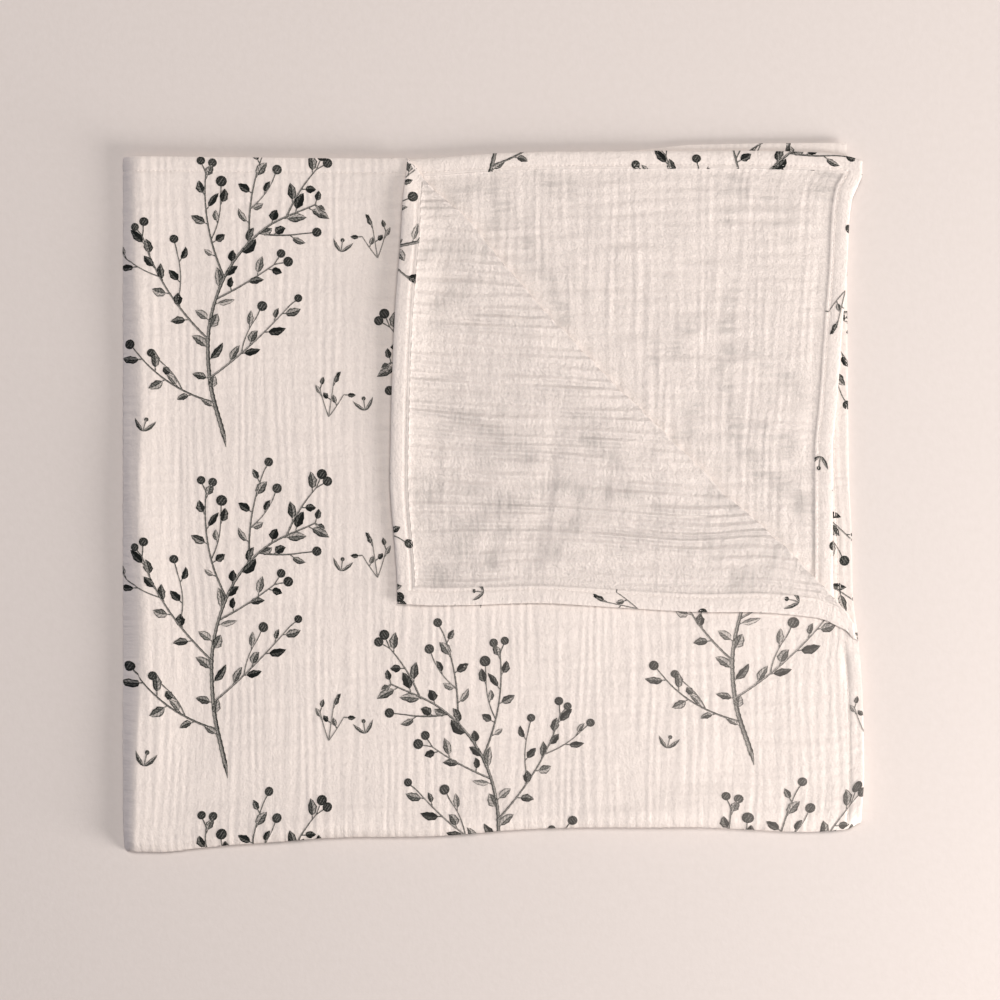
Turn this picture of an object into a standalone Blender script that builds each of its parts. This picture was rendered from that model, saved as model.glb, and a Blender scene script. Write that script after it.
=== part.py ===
"""Folded swaddle blanket: one hemmed near-square of printed double gauze.

The cloth is folded in half at its bottom edge with its wrong sides together, then in half again at its left
edge, so four layers lie on each other: top outer, top inner, low inner and low outer. The free corner of the
top outer layer is turned back over the layer along a slanting crease.

The flat cloth has its place across (s) and up (v) measured from where its two fold lines cross. Each step
below takes the cloth one fold further, and its two faces go through the same steps, a thickness apart.
Metres, +Z up, +X to the right of the folded blanket, origin at the middle of its underside.
"""

import math
from collections import namedtuple

import bmesh
import bpy
import numpy as np

MM = 0.001

# The cloth
THICK = 1.2 * MM
HEM_WIDTH = 15.5 * MM
HEM_SLOPE = 3.0 * MM  # over which the hem's edge steps down to the single cloth
HEM_EXTRA = 0.8 * MM  # how far the turned hem stands above the wrong side
HEM_ROUND = 1.2 * MM  # width of the rounding at the cut edge
PRINT_ROUND = 0.35 * MM
WRONG_ROUND = 0.55 * MM

# The pile of layers
LEFT = -302.8 * MM
RIGHT = 290.0 * MM
BOTTOM = -275.0 * MM
TOP = 279.0 * MM
GAP_WRONG_SIDES = 2.4 * MM
GAP_PRINTED_SIDES = 0.8 * MM
GAP_TURNED_CORNER = 1.6 * MM

BEND_BOTTOM = (THICK + GAP_WRONG_SIDES) / 2
BEND_LEFT = BEND_BOTTOM + (THICK + GAP_PRINTED_SIDES) / 2
BEND_CORNER = (THICK + GAP_TURNED_CORNER) / 2
HALF_PILE = BEND_LEFT + BEND_BOTTOM + THICK / 2
LEFT_AXIS = LEFT + HALF_PILE
BOTTOM_AXIS = BOTTOM + BEND_BOTTOM + THICK / 2

# Half of the arc of cloth in each of the two folds, and half of the flat cloth each way
ARC_LEFT = math.pi / 2 * BEND_LEFT
ARC_BOTTOM = math.pi / 2 * BEND_BOTTOM
HALF_ACROSS = ARC_LEFT + RIGHT - LEFT_AXIS
HALF_UP = ARC_BOTTOM + TOP - BOTTOM_AXIS

# The crease of the turned corner, from its start at the top hem to its end at the right hem
CREASE_START = (-64.9 * MM, 270.4 * MM)
CREASE_END = (298.2 * MM, -116.4 * MM)
CREASE_WAVE_REACH = 45.0 * MM  # how far from the crease its waver dies away
LIFT_REACH = 38.0 * MM  # how far in from the turned hem its lift dies away
LIFT_START = 25.0 * MM  # length along which the lift begins, next to the crease

# How the unevenness of an edge fades into the cloth, and the strip by the edge that moves as one
FADE = 150.0 * MM
RIGID = 22.0 * MM
SWELL_REACH = 48.0 * MM

# Grid of the solid
FLAT_CELLS = 15
FOLD_CELLS = 8
CREASE_CELLS = 6
MERGE = 0.15 * MM

CLOTH_COLOUR = (0.86, 0.80, 0.76, 1.0)
CLOTH_ROUGHNESS = 0.92

# Each table row is a place along an edge, in mm from the blanket's middle, and a value there.
HemPoint = namedtuple("HemPoint", "along reach")
FoldPoint = namedtuple("FoldPoint", "along reach")
SwellPoint = namedtuple("SwellPoint", "along share")
StretchPoint = namedtuple("StretchPoint", "along times")
WavePoint = namedtuple("WavePoint", "along out")
LiftPoint = namedtuple("LiftPoint", "along up")

Layer = namedtuple("Layer", "over outer top_hem right_hem")

TOP_OUTER = Layer(
    over=1,
    outer=1,
    top_hem=[
        HemPoint(-302, 277.8),
        HemPoint(-76, 276.1),
        HemPoint(49, 277.8),
        HemPoint(184, 273.7),
        HemPoint(292, 261.4),
    ],
    right_hem=[
        HemPoint(-270, 300.7),
        HemPoint(-234, 302.7),
        HemPoint(-167, 301.5),
        HemPoint(-117, 298.2),
        HemPoint(-97, 288.5),
        HemPoint(-74, 281.5),
        HemPoint(-21, 282.4),
        HemPoint(30, 284.4),
        HemPoint(128, 284.4),
        HemPoint(217, 290.1),
        HemPoint(261, 292.5),
    ],
)
TOP_INNER = Layer(
    over=1,
    outer=-1,
    top_hem=[
        HemPoint(-302, 275.5),
        HemPoint(-72, 276.1),
        HemPoint(8, 281.0),
        HemPoint(58, 282.2),
        HemPoint(186, 283.0),
        HemPoint(258, 281.3),
        HemPoint(287, 276.1),
        HemPoint(301, 268.8),
    ],
    right_hem=[
        HemPoint(-270, 300.7),
        HemPoint(-200, 292.0),
        HemPoint(-116, 282.0),
        HemPoint(-60, 277.4),
        HemPoint(39, 277.4),
        HemPoint(75, 280.8),
        HemPoint(141, 285.4),
        HemPoint(191, 289.3),
        HemPoint(230, 291.0),
        HemPoint(252, 294.2),
        HemPoint(268, 301.5),
    ],
)
LOW_INNER = Layer(
    over=-1,
    outer=-1,
    top_hem=[
        HemPoint(-302, 275.5),
        HemPoint(50, 279.0),
        HemPoint(120, 283.5),
        HemPoint(145, 287.2),
        HemPoint(186, 288.8),
        HemPoint(243, 289.4),
        HemPoint(289, 289.7),
    ],
    right_hem=[
        HemPoint(-270, 296.0),
        HemPoint(-200, 296.5),
        HemPoint(-116, 298.2),
        HemPoint(-84, 294.2),
        HemPoint(-35, 293.4),
        HemPoint(22, 290.9),
        HemPoint(290, 289.0),
    ],
)
LOW_OUTER = Layer(
    over=-1,
    outer=1,
    top_hem=[
        HemPoint(-302, 277.8),
        HemPoint(0, 277.0),
        HemPoint(289, 278.5),
    ],
    right_hem=[
        HemPoint(-270, 296.0),
        HemPoint(-200, 292.0),
        HemPoint(0, 286.0),
        HemPoint(278, 287.5),
    ],
)
LAYERS = (TOP_OUTER, TOP_INNER, LOW_INNER, LOW_OUTER)

# Outermost line of the left fold up the blanket, and of the bottom fold across it
LEFT_FOLD = [
    FoldPoint(-290, -298.9),
    FoldPoint(-268, -301.8),
    FoldPoint(-240, -302.8),
    FoldPoint(278, -302.8),
]
BOTTOM_FOLD = [
    FoldPoint(-300, -289.6),
    FoldPoint(-275, -290.0),
    FoldPoint(-237, -286.1),
    FoldPoint(-170, -281.2),
    FoldPoint(-115, -277.6),
    FoldPoint(-59, -277.3),
    FoldPoint(25, -271.4),
    FoldPoint(88, -269.8),
    FoldPoint(169, -269.8),
    FoldPoint(253, -273.6),
    FoldPoint(288, -271.8),
    FoldPoint(301, -266.2),
]

# How much wider than round the left fold is, and how much thicker the pile is by each fold
LEFT_STRETCH = [
    StretchPoint(-285, 1.1),
    StretchPoint(-225, 1.9),
    StretchPoint(-140, 2.7),
    StretchPoint(-90, 2.5),
    StretchPoint(-50, 1.6),
    StretchPoint(60, 1.35),
    StretchPoint(200, 1.6),
    StretchPoint(278, 1.3),
]
LEFT_SWELL = [
    SwellPoint(-285, 0.15),
    SwellPoint(-160, 0.30),
    SwellPoint(-20, 0.42),
    SwellPoint(130, 0.26),
    SwellPoint(278, 0.12),
]
BOTTOM_SWELL = [
    SwellPoint(-300, 0.10),
    SwellPoint(-150, 0.36),
    SwellPoint(0, 0.22),
    SwellPoint(150, 0.40),
    SwellPoint(300, 0.12),
]

# The crease's waver across its straight line, by the distance from its start, in mm
CREASE_WAVE = [
    WavePoint(0, 0.0),
    WavePoint(15, -1.6),
    WavePoint(60, 2.2),
    WavePoint(112, -1.1),
    WavePoint(165, -2.9),
    WavePoint(245, -2.0),
    WavePoint(313, 1.2),
    WavePoint(367, 1.9),
    WavePoint(396, 4.8),
    WavePoint(447, 7.6),
    WavePoint(498, 5.9),
    WavePoint(530, 0.0),
]
# How far the turned corner's hem stands off the layer under it, by the place along that hem before it is turned
TURNED_LIFT = [
    LiftPoint(-65, 5.0),
    LiftPoint(40, 6.0),
    LiftPoint(150, 3.6),
    LiftPoint(230, 2.2),
    LiftPoint(292, 1.0),
]


def through(rows, place, unit=MM):
    """The table's value at a place, in its unit, on a smooth line through its rows. The line doesn't
    overshoot a row, and it is level past both ends."""
    along, value = (np.array(column) for column in zip(*rows))
    along, value = along * MM, value * unit
    rise = np.diff(value) / np.diff(along)
    same_way = rise[:-1] * rise[1:] > 0
    total = np.where(same_way, rise[:-1] + rise[1:], 1.0)
    slope = np.zeros(len(along))
    slope[1:-1] = np.where(same_way, 2 * rise[:-1] * rise[1:] / total, 0.0)
    row = np.clip(np.searchsorted(along, place) - 1, 0, len(along) - 2)
    step = along[row + 1] - along[row]
    f = np.clip((place - along[row]) / step, 0.0, 1.0)
    start = value[row] * (1 + 2 * f) + slope[row] * step * f
    end = value[row + 1] * (3 - 2 * f) - slope[row + 1] * step * (1 - f)
    return start * (1 - f) ** 2 + end * f**2


def eased(x):
    """0 below 0, 1 above 1, and a soft step between."""
    x = np.clip(x, 0.0, 1.0)
    return x * x * (3 - 2 * x)


def edge_hold(distance):
    """1 in the strip next to an edge, fading to 0 inside the cloth."""
    return eased(1 - (distance - RIGID) / (FADE - RIGID))


def on_pile(s, v):
    """Where a place of the flat cloth comes on the pile, before any unevenness."""
    x = LEFT_AXIS + np.maximum(np.abs(s) - ARC_LEFT, 0.0)
    y = BOTTOM_AXIS + np.maximum(np.abs(v) - ARC_BOTTOM, 0.0)
    return x, y


def with_uneven_hems(s, v):
    """Draws each layer's free edges in or out to where its two hems lie."""
    x, y = on_pile(s, v)
    out_right, out_top = np.zeros_like(s), np.zeros_like(v)
    for layer in LAYERS:
        here = (s * layer.over >= 0) & (v * layer.outer >= 0)
        out_right[here] = through(layer.right_hem, y[here]) - RIGHT
        out_top[here] = through(layer.top_hem, x[here]) - TOP
    s_moved = s + np.sign(s) * out_right * edge_hold(RIGHT - x)
    v_moved = v + np.sign(v) * out_top * edge_hold(TOP - y)
    return s_moved, v_moved


def face_heights(s, v):
    """Heights of the printed face and the wrong face over the cloth's middle, from the distance to the hem."""
    inside = np.minimum(HALF_ACROSS - np.abs(s), HALF_UP - np.abs(v))
    hem = np.clip((HEM_WIDTH - inside) / HEM_SLOPE, 0.0, 1.0)
    rounding = np.clip(1 - inside / HEM_ROUND, 0.0, 1.0)
    printed = THICK / 2 - PRINT_ROUND * rounding
    wrong = -THICK / 2 - HEM_EXTRA * hem + WRONG_ROUND * rounding
    return printed, wrong


def fold_bottom(v, height):
    """The fold at the bottom edge: the distance up from its axis, and the height over the pair of layers."""
    angle = np.clip(v / BEND_BOTTOM, -math.pi / 2, math.pi / 2)
    past = np.maximum(np.abs(v) - ARC_BOTTOM, 0.0)
    radius = BEND_BOTTOM + height
    return past - radius * np.cos(angle), radius * np.sin(angle)


def fold_left(s, height, stretch):
    """The fold at the left edge: the distance right of its axis, and the height over the pile's middle."""
    angle = np.clip(s / BEND_LEFT, -math.pi / 2, math.pi / 2)
    past = np.maximum(np.abs(s) - ARC_LEFT, 0.0)
    radius = BEND_LEFT + height
    return past - radius * np.cos(angle) * stretch, radius * np.sin(angle)


def crease_frame():
    """The crease's start, its direction, the direction out of it to the corner, and its length."""
    start, end = np.array(CREASE_START), np.array(CREASE_END)
    run = end - start
    length = math.hypot(*run)
    along = run / length
    out = np.array((-along[1], along[0]))
    start = start - out * (BEND_CORNER + THICK / 2)
    return start, along, out, length


def past_crease(x, y):
    """Distances along the crease and out past the line where the corner starts to turn."""
    start, along, out, _ = crease_frame()
    dx, dy = x - start[0], y - start[1]
    return dx * along[0] + dy * along[1], dx * out[0] + dy * out[1]


def turn_corner(x, y, height, from_top, place):
    """Turns the free corner of the top outer layer back over the layer, with its hem a little lifted."""
    start, along, out, length = crease_frame()
    run, past = past_crease(x, y)
    angle = np.clip(past / BEND_CORNER, 0.0, math.pi)
    radius = BEND_CORNER - height
    beyond = np.maximum(past - math.pi * BEND_CORNER, 0.0)
    turned = np.where(past < 0, past, radius * np.sin(angle) - beyond)
    up = BEND_CORNER - radius * np.cos(angle)
    up += through(TURNED_LIFT, place) * eased(1 - from_top / LIFT_REACH) * eased(beyond / LIFT_START)
    wave = through(CREASE_WAVE, run) * np.exp(-((turned / CREASE_WAVE_REACH) ** 2))
    wave *= eased(run / LIFT_START + 1) * eased((length - run) / LIFT_START + 1)
    turned = turned + wave
    return (
        start[0] + run * along[0] + turned * out[0],
        start[1] + run * along[1] + turned * out[1],
        up,
    )


def folded(s, v, s_moved, v_moved, height):
    """Where points of the cloth lie on the folded blanket, at the given heights over the cloth's middle."""
    _, y_flat = on_pile(s_moved, v_moved)
    up_from_fold, over_pair = fold_bottom(v_moved, height)
    stretch = through(LEFT_STRETCH, y_flat, unit=1.0)
    right_of_fold, over_middle = fold_left(s_moved, over_pair, stretch)
    x = LEFT_AXIS + right_of_fold
    y = BOTTOM_AXIS + up_from_fold
    z = HALF_PILE + over_middle

    corner = (s_moved > ARC_LEFT) & (v_moved > ARC_BOTTOM)
    from_top = HALF_UP - v[corner]
    place = on_pile(s, v)[0][corner]
    middle = HALF_PILE + BEND_LEFT + BEND_BOTTOM
    x[corner], y[corner], up = turn_corner(x[corner], y[corner], height[corner], from_top, place)
    z[corner] = middle + up

    by_left = edge_hold(x - LEFT)
    by_bottom = edge_hold(y - BOTTOM)
    wider = HALF_PILE * (stretch - 1)
    swell = 1 + through(LEFT_SWELL, y, unit=1.0) * eased(1 - (x - LEFT - wider) / SWELL_REACH)
    swell += through(BOTTOM_SWELL, x, unit=1.0) * eased(1 - (y - BOTTOM) / SWELL_REACH)
    x_even = x + by_left * wider
    x_uneven = x_even + by_left * (through(LEFT_FOLD, y) - LEFT)
    y_uneven = y + by_bottom * (through(BOTTOM_FOLD, x_even) - BOTTOM)
    return x_uneven, y_uneven, z * swell


def grid_lines(half, arc, flat_cells, fold_cells):
    """Places of the grid's lines from hem to hem: close in the hems and round the fold between them."""
    hem = half - np.array((0.0, HEM_ROUND, HEM_WIDTH - HEM_SLOPE))
    flat = np.linspace(half - HEM_WIDTH, arc, flat_cells + 1)[:-1]
    one_side = np.concatenate((hem, flat))
    fold = np.linspace(arc, -arc, fold_cells + 1)
    return np.concatenate((one_side, fold, -one_side[::-1]))[::-1]


def flat_cloth(columns, rows):
    """The flat cloth as triangles, cut along the lines where its corner bends. Gives the points' even and
    uneven places, the triangles, and the edges of the rim in the direction of their triangles."""
    s, v = (grid.ravel() for grid in np.meshgrid(columns, rows))
    s_moved, v_moved = with_uneven_hems(s, v)
    mesh = bmesh.new()
    even_s = mesh.verts.layers.float.new("even_s")
    even_v = mesh.verts.layers.float.new("even_v")
    for place in zip(s, v, s_moved, v_moved):
        vert = mesh.verts.new((place[2], place[3], 0.0))
        vert[even_s], vert[even_v] = place[0], place[1]
    mesh.verts.ensure_lookup_table()
    wide = len(columns)
    for row in range(len(rows) - 1):
        for column in range(wide - 1):
            first = row * wide + column
            loop = (first, first + 1, first + 1 + wide, first + wide)
            mesh.faces.new([mesh.verts[i] for i in loop])

    start, _, out, _ = crease_frame()
    fold_origin = np.array((LEFT_AXIS - ARC_LEFT, BOTTOM_AXIS - ARC_BOTTOM))
    for step in range(CREASE_CELLS + 1):
        line = start + out * (math.pi * BEND_CORNER * step / CREASE_CELLS) - fold_origin
        corner = [f for f in mesh.faces if f.calc_center_median().x > ARC_LEFT]
        corner = [f for f in corner if f.calc_center_median().y > ARC_BOTTOM]
        edges = {e for f in corner for e in f.edges}
        verts = {p for f in corner for p in f.verts}
        parts = [*corner, *sorted(edges, key=lambda e: e.index), *sorted(verts, key=lambda p: p.index)]
        bmesh.ops.bisect_plane(mesh, geom=parts, dist=MERGE / 10, plane_co=(*line, 0), plane_no=(*out, 0))
        mesh.verts.index_update()
        mesh.edges.index_update()
    bmesh.ops.remove_doubles(mesh, verts=mesh.verts, dist=MERGE)
    bmesh.ops.triangulate(mesh, faces=mesh.faces)
    mesh.verts.index_update()

    places = np.array([(p[even_s], p[even_v], p.co.x, p.co.y) for p in mesh.verts]).T
    triangles = [[p.index for p in f.verts] for f in mesh.faces]
    rim = [
        (loop.vert.index, loop.link_loop_next.vert.index)
        for loop in (e.link_loops[0] for e in mesh.edges if e.is_boundary)
    ]
    mesh.free()
    return places, triangles, rim


def cloth_material():
    material = bpy.data.materials.new("printed_gauze")
    material.use_nodes = True
    shader = material.node_tree.nodes["Principled BSDF"]
    shader.inputs["Base Color"].default_value = CLOTH_COLOUR
    shader.inputs["Roughness"].default_value = CLOTH_ROUGHNESS
    shader.inputs["Metallic"].default_value = 0.0
    material.diffuse_color = CLOTH_COLOUR
    return material


def swaddle_blanket():
    """The folded blanket: the two faces of the cloth, joined round its edge."""
    columns = grid_lines(HALF_ACROSS, ARC_LEFT, FLAT_CELLS, FOLD_CELLS)
    rows = grid_lines(HALF_UP, ARC_BOTTOM, FLAT_CELLS, FOLD_CELLS)
    places, triangles, rim = flat_cloth(columns, rows)
    printed, wrong = (
        np.stack(folded(*places, height), axis=1) for height in face_heights(places[0], places[1])
    )
    count = len(printed)
    points = np.concatenate((printed, wrong))
    middle = (points.min(axis=0) + points.max(axis=0)) / 2
    points -= (middle[0], middle[1], 0.0)

    faces = [tuple(t) for t in triangles]
    faces += [tuple(i + count for i in reversed(t)) for t in triangles]
    for a, b in rim:
        faces += [(b, a, a + count), (b, a + count, b + count)]
    mesh = bpy.data.meshes.new("swaddle_blanket")
    mesh.from_pydata(points.tolist(), [], faces)
    mesh.materials.append(cloth_material())
    mesh.shade_smooth()
    mesh.set_sharp_from_angle(angle=math.radians(40))
    blanket = bpy.data.objects.new("swaddle_blanket", mesh)
    bpy.context.collection.objects.link(blanket)
    return blanket


for old in list(bpy.data.objects):
    bpy.data.objects.remove(old, do_unlink=True)
swaddle_blanket()
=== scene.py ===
"""Looks of the folded swaddle blanket: crinkled double gauze, its botanical print and its stitched hems.

The cloth is one near-square sheet. A place on it is given by its distance across (s) and up (v) from where
its two fold lines cross. It is folded in half at the bottom edge with its wrong sides together, then in half
at the left edge, and the free corner of its top layer is turned back. The crinkles, the print and the
stitches are laid out on the flat cloth and go through the same folds as the cloth does.
"""

import math
from collections import namedtuple
from functools import partialmethod

import bmesh
import bpy
import numpy as np
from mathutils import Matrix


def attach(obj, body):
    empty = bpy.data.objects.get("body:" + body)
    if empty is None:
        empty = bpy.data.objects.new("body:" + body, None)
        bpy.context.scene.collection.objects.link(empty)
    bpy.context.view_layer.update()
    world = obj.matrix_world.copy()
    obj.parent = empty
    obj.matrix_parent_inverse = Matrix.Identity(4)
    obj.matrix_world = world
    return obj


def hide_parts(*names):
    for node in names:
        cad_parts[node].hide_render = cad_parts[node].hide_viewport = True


MM = 0.001
NODE = "swaddle_blanket"

# The cloth
THICK = 1.2 * MM
HEM_WIDTH = 15.5 * MM
HEM_SLOPE = 1.3 * MM  # over which the hem's inner edge steps down to the single cloth
HEM_EXTRA = 0.8 * MM  # how far the turned hem stands above the wrong side
HEM_ROUND = 1.2 * MM  # width of the rounding at the cut edge
HEM_PUFF = 0.34 * MM  # how far the hem swells between its stitches and its edge
PRINTED_PUFF = 0.5  # share of that on the printed side
HEM_LIP = 0.27 * MM  # how far its free inner edge stands up past the stitches
HEM_LIP_WIDTH = 1.3 * MM
STITCH_IN = 11.6 * MM  # the line of stitches, from the edge
STITCH_PINCH = 0.45 * MM
STITCH_PINCH_WIDTH = 1.1 * MM
CREASE_SOFT = 20.0 * MM  # how far from the turned corner's crease its hem is smoothed out
CREASE_SMOOTHED = 0.85  # share of the lip and the pinch that goes there
INNER_SEWN = 0.5  # the lip and the pinch of the inner layer's hems, where those of the outer layer's are 1
PRINT_ROUND = 0.35 * MM
WRONG_ROUND = 0.55 * MM

# The pile of layers
LEFT = -302.8 * MM
RIGHT = 290.0 * MM
BOTTOM = -275.0 * MM
TOP = 279.0 * MM
GAP_WRONG_SIDES = 2.4 * MM
GAP_PRINTED_SIDES = 0.8 * MM
GAP_TURNED_CORNER = 1.6 * MM

BEND_BOTTOM = (THICK + GAP_WRONG_SIDES) / 2
BEND_LEFT = BEND_BOTTOM + (THICK + GAP_PRINTED_SIDES) / 2
BEND_CORNER = (THICK + GAP_TURNED_CORNER) / 2
HALF_PILE = BEND_LEFT + BEND_BOTTOM + THICK / 2
LEFT_AXIS = LEFT + HALF_PILE
BOTTOM_AXIS = BOTTOM + BEND_BOTTOM + THICK / 2

# Half of the arc of cloth in each of the two folds, and half of the flat cloth each way
ARC_LEFT = math.pi / 2 * BEND_LEFT
ARC_BOTTOM = math.pi / 2 * BEND_BOTTOM
HALF_ACROSS = ARC_LEFT + RIGHT - LEFT_AXIS
HALF_UP = ARC_BOTTOM + TOP - BOTTOM_AXIS

# The crease of the turned corner, from its start at the top hem to its end at the right hem, its directions
# along and out to the corner, and a place on the line where the corner starts to turn
CREASE_START = (-64.9 * MM, 270.4 * MM)
CREASE_END = (298.2 * MM, -116.4 * MM)
CREASE_LENGTH = math.dist(CREASE_START, CREASE_END)
CREASE_ALONG = np.subtract(CREASE_END, CREASE_START) / CREASE_LENGTH
CREASE_OUT = np.array((-CREASE_ALONG[1], CREASE_ALONG[0]))
CREASE_BEND = CREASE_START - CREASE_OUT * (BEND_CORNER + THICK / 2)
CREASE_WAVE_REACH = 45.0 * MM  # how far from the crease its waver dies away
CREASE_TOP = 0.6 * math.pi  # the angle of the bend at its outermost line, and how wide that line is
CREASE_TOP_WIDTH = 1.3
LIFT_REACH = 38.0 * MM  # how far in from the turned hem its lift dies away
LIFT_START = 25.0 * MM  # length along which the lift begins, next to the crease
HEM_DROOP = 0.32  # share of the lift that is lost again over the hem
PRESS_REACH = 15.0 * MM
PRESSED_CRINKLES = 0.85  # share of the crinkles that is pressed out there
PRESSED_THICKNESS = 0.5  # share of the cloth's thickness that is pressed out of it there
PRESSED_EDGE = 8.0 * MM

# How the unevenness of an edge fades into the cloth, and the strip by the edge that moves as one
FADE = 150.0 * MM
RIGID = 22.0 * MM
SWELL_REACH = 48.0 * MM

# Steps of the sheet's grid. A face is fine where it shows from above and coarse where it is covered.
FINE_ACROSS = 2.2 * MM
FINE_UP = 3.1 * MM
FINE_UP_REVERSE = 2.7 * MM
COARSE_EVERY = 16  # fine columns for each coarse one
COARSE_UP = 16.0 * MM
COVERED_ACROSS = 60.0 * MM
SHOWN_MARGIN = 14.0 * MM
TURNED_LEFT = -76.0 * MM  # where the turned corner starts to cover the layer under it
TURNED_BOTTOM = -90.0 * MM
FOLD_CELLS = 14
CREASE_CELLS = 8
MERGE = 0.12 * MM
CUT_REACH = 20.0 * MM  # how near a line a face is to be cut along it
RIM_SLACK = 2e-4  # share of the cloth's size within which a point is on its rim
SHARP_ANGLE = math.radians(62)
HEM_LINES = np.array((0.0, 0.4, 1.2, 3.4, 6.2, 8.8, 10.2, 11.0, 11.6, 12.2, 13.0, 13.9, 14.9, 15.5)) * MM


def table(columns, *rows):
    """Rows of values under named columns."""
    row_of = namedtuple("Row", columns)
    return [row_of(*row) for row in rows]


# The four layers, from the top: on which side of the left fold and of the bottom fold each lies, and how far
# its top and right hems reach. Rows along an edge give a place, in mm from the blanket's middle, and a value.
Layer = namedtuple("Layer", "over outer top_hem right_hem")
REACH = "along reach"  # the columns of an edge's table
LAYERS = (
    Layer(
        over=1,
        outer=1,
        top_hem=table(REACH, (-302, 277.8), (-76, 276.1), (49, 277.8), (184, 273.7), (292, 261.4)),
        right_hem=table(
            REACH, (-270, 300.7), (-234, 302.7), (-167, 301.5), (-117, 298.2), (-97, 294.6), (-74, 288.0),
            (-21, 283.2), (30, 284.4), (128, 284.4), (217, 290.1), (261, 292.5),
        ),
    ),
    Layer(
        over=1,
        outer=-1,
        top_hem=table(
            REACH, (-302, 275.5), (-72, 276.1), (8, 281.0), (58, 282.2), (186, 283.0),
            (258, 281.3), (287, 276.1), (301, 268.8),
        ),
        right_hem=table(
            REACH, (-270, 300.7), (-200, 292.0), (-116, 282.0), (-60, 277.4), (39, 277.4), (75, 280.8),
            (141, 285.4), (191, 289.3), (230, 291.0), (252, 294.2), (268, 301.5),
        ),
    ),
    Layer(
        over=-1,
        outer=-1,
        top_hem=table(
            REACH, (-302, 275.5), (50, 279.0), (120, 283.5), (145, 287.2), (186, 288.8),
            (243, 289.4), (289, 289.7),
        ),
        right_hem=table(
            REACH, (-270, 296.0), (-200, 296.5), (-116, 298.2), (-84, 294.2), (-35, 293.4),
            (22, 290.9), (290, 289.0),
        ),
    ),
    Layer(
        over=-1,
        outer=1,
        top_hem=table(REACH, (-302, 277.8), (0, 277.0), (289, 278.5)),
        right_hem=table(REACH, (-270, 296.0), (-200, 292.0), (0, 286.0), (278, 287.5)),
    ),
)

# Outermost line of the left fold up the blanket, and of the bottom fold across it
LEFT_FOLD = table(REACH, (-290, -298.9), (-268, -301.8), (-240, -302.8), (278, -302.8))
BOTTOM_FOLD = table(
    REACH, (-300, -289.6), (-275, -290.0), (-237, -286.1), (-170, -281.2), (-115, -277.6), (-59, -277.3),
    (25, -271.4), (88, -269.8), (169, -269.8), (253, -273.6), (288, -271.8), (301, -266.2),
)

# How much wider than round the left fold is, and how much thicker the pile is by each fold
LEFT_STRETCH = table(
    "along times", (-285, 1.1), (-225, 1.9), (-140, 2.7), (-90, 2.5), (-50, 1.6),
    (60, 1.35), (200, 1.6), (278, 1.3),
)
LEFT_SWELL = table("along share", (-285, 0.15), (-160, 0.30), (-20, 0.42), (130, 0.26), (278, 0.12))
BOTTOM_SWELL = table("along share", (-300, 0.10), (-150, 0.36), (0, 0.22), (150, 0.40), (300, 0.12))

# The pile is soft and thins out towards its two folds: how far in that reaches
LEFT_TAPER = table(
    "along width", (-285, 9.0), (-247, 11.0), (-200, 12.5), (-150, 18.0), (-84, 19.5), (-30, 18.0),
    (14, 16.5), (63, 20.0), (137, 17.0), (180, 14.5), (278, 13.0),
)
LEFT_THINNING = 0.80
BOTTOM_TAPER = 11.0 * MM
BOTTOM_THINNING = 0.55

# By the distance from the crease's start, in mm: its waver across its straight line, and the share of the
# turned corner's height that is pressed out of it there
CREASE_WAVE = table(
    "along out", (0, 0.0), (15, -1.6), (60, 2.2), (112, -1.1), (165, -2.9), (245, -2.0), (313, 1.2),
    (367, 1.9), (396, 5.0), (447, 8.8), (494, 9.2), (515, 6.4), (530, 0.0),
)
PRESS = table("along share", (0, 0.46), (60, 0.62), (260, 0.62), (350, 0.54), (530, 0.46))
# How far the turned corner's hem stands off the layer under it, by the place along that hem before its turn
TURNED_LIFT = table("along up", (-65, 5.0), (40, 6.4), (150, 4.2), (230, 2.2), (292, 1.0))

# Crinkles of the gauze: heights, and the size of a crinkle across the cloth and up it
Crinkle = namedtuple("Crinkle", "height across up seed")
RIDGES = Crinkle(0.19 * MM, 5.2 * MM, 60.0 * MM, 3)
FINE_RIDGES = Crinkle(0.05 * MM, 3.2 * MM, 36.0 * MM, 5)
CROSS_RIPPLES = Crinkle(0.50 * MM, 64.0 * MM, 6.6 * MM, 8)
RIDGE_WANDER = Crinkle(0.8 * MM, 34.0 * MM, 46.0 * MM, 21)
CREASE_NICKS = Crinkle(0.9 * MM, 9.0 * MM, 12.0 * MM, 41)  # of the corner's crease: along it, and their reach
HEM_PUCKER = Crinkle(0.20 * MM, 3.6 * MM, 3.6 * MM, 34)
PUCKER_REACH = 1.4  # hem widths
HEM_HOLD = 0.30  # share of the crinkles left in a hem
HEM_HOLD_FADE = 16.0 * MM
PILE_WAVES = Crinkle(0.055, 74.0 * MM, 60.0 * MM, 55)  # its height is a share of the pile's
LATTICE = 64
INNER_RISE = 0.85 * MM  # how far the layer inside is raised off the one under it, to give its crinkles room
INNER_START = 40.0 * MM  # how far past the bottom fold's line the layer inside has its own
INNER_GROWTH = 80.0 * MM
CRINKLED_FROM = 12.0 * MM  # how far past the left fold's line, on the pile's underside, crinkles start
CRINKLED_GROWTH = 22.0 * MM

# How strong the ridges and the ripples are on the inner layer, on the turned corner, and where a layer is
# covered, where they are 1 on the outer layer
GAINS = table("ridges ripples", (2.0, 1.9), (6.2, 0.80), (0.1, 0.1))
COVER_FADE = 14.0 * MM
INNER_SHOWN = 2  # such fades short of the crease, from where the inner layer has its crinkles
TURNED_MARK = 1.5  # of the turned corner's wrong side, where the inner layer's has 1 and the print 0

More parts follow.
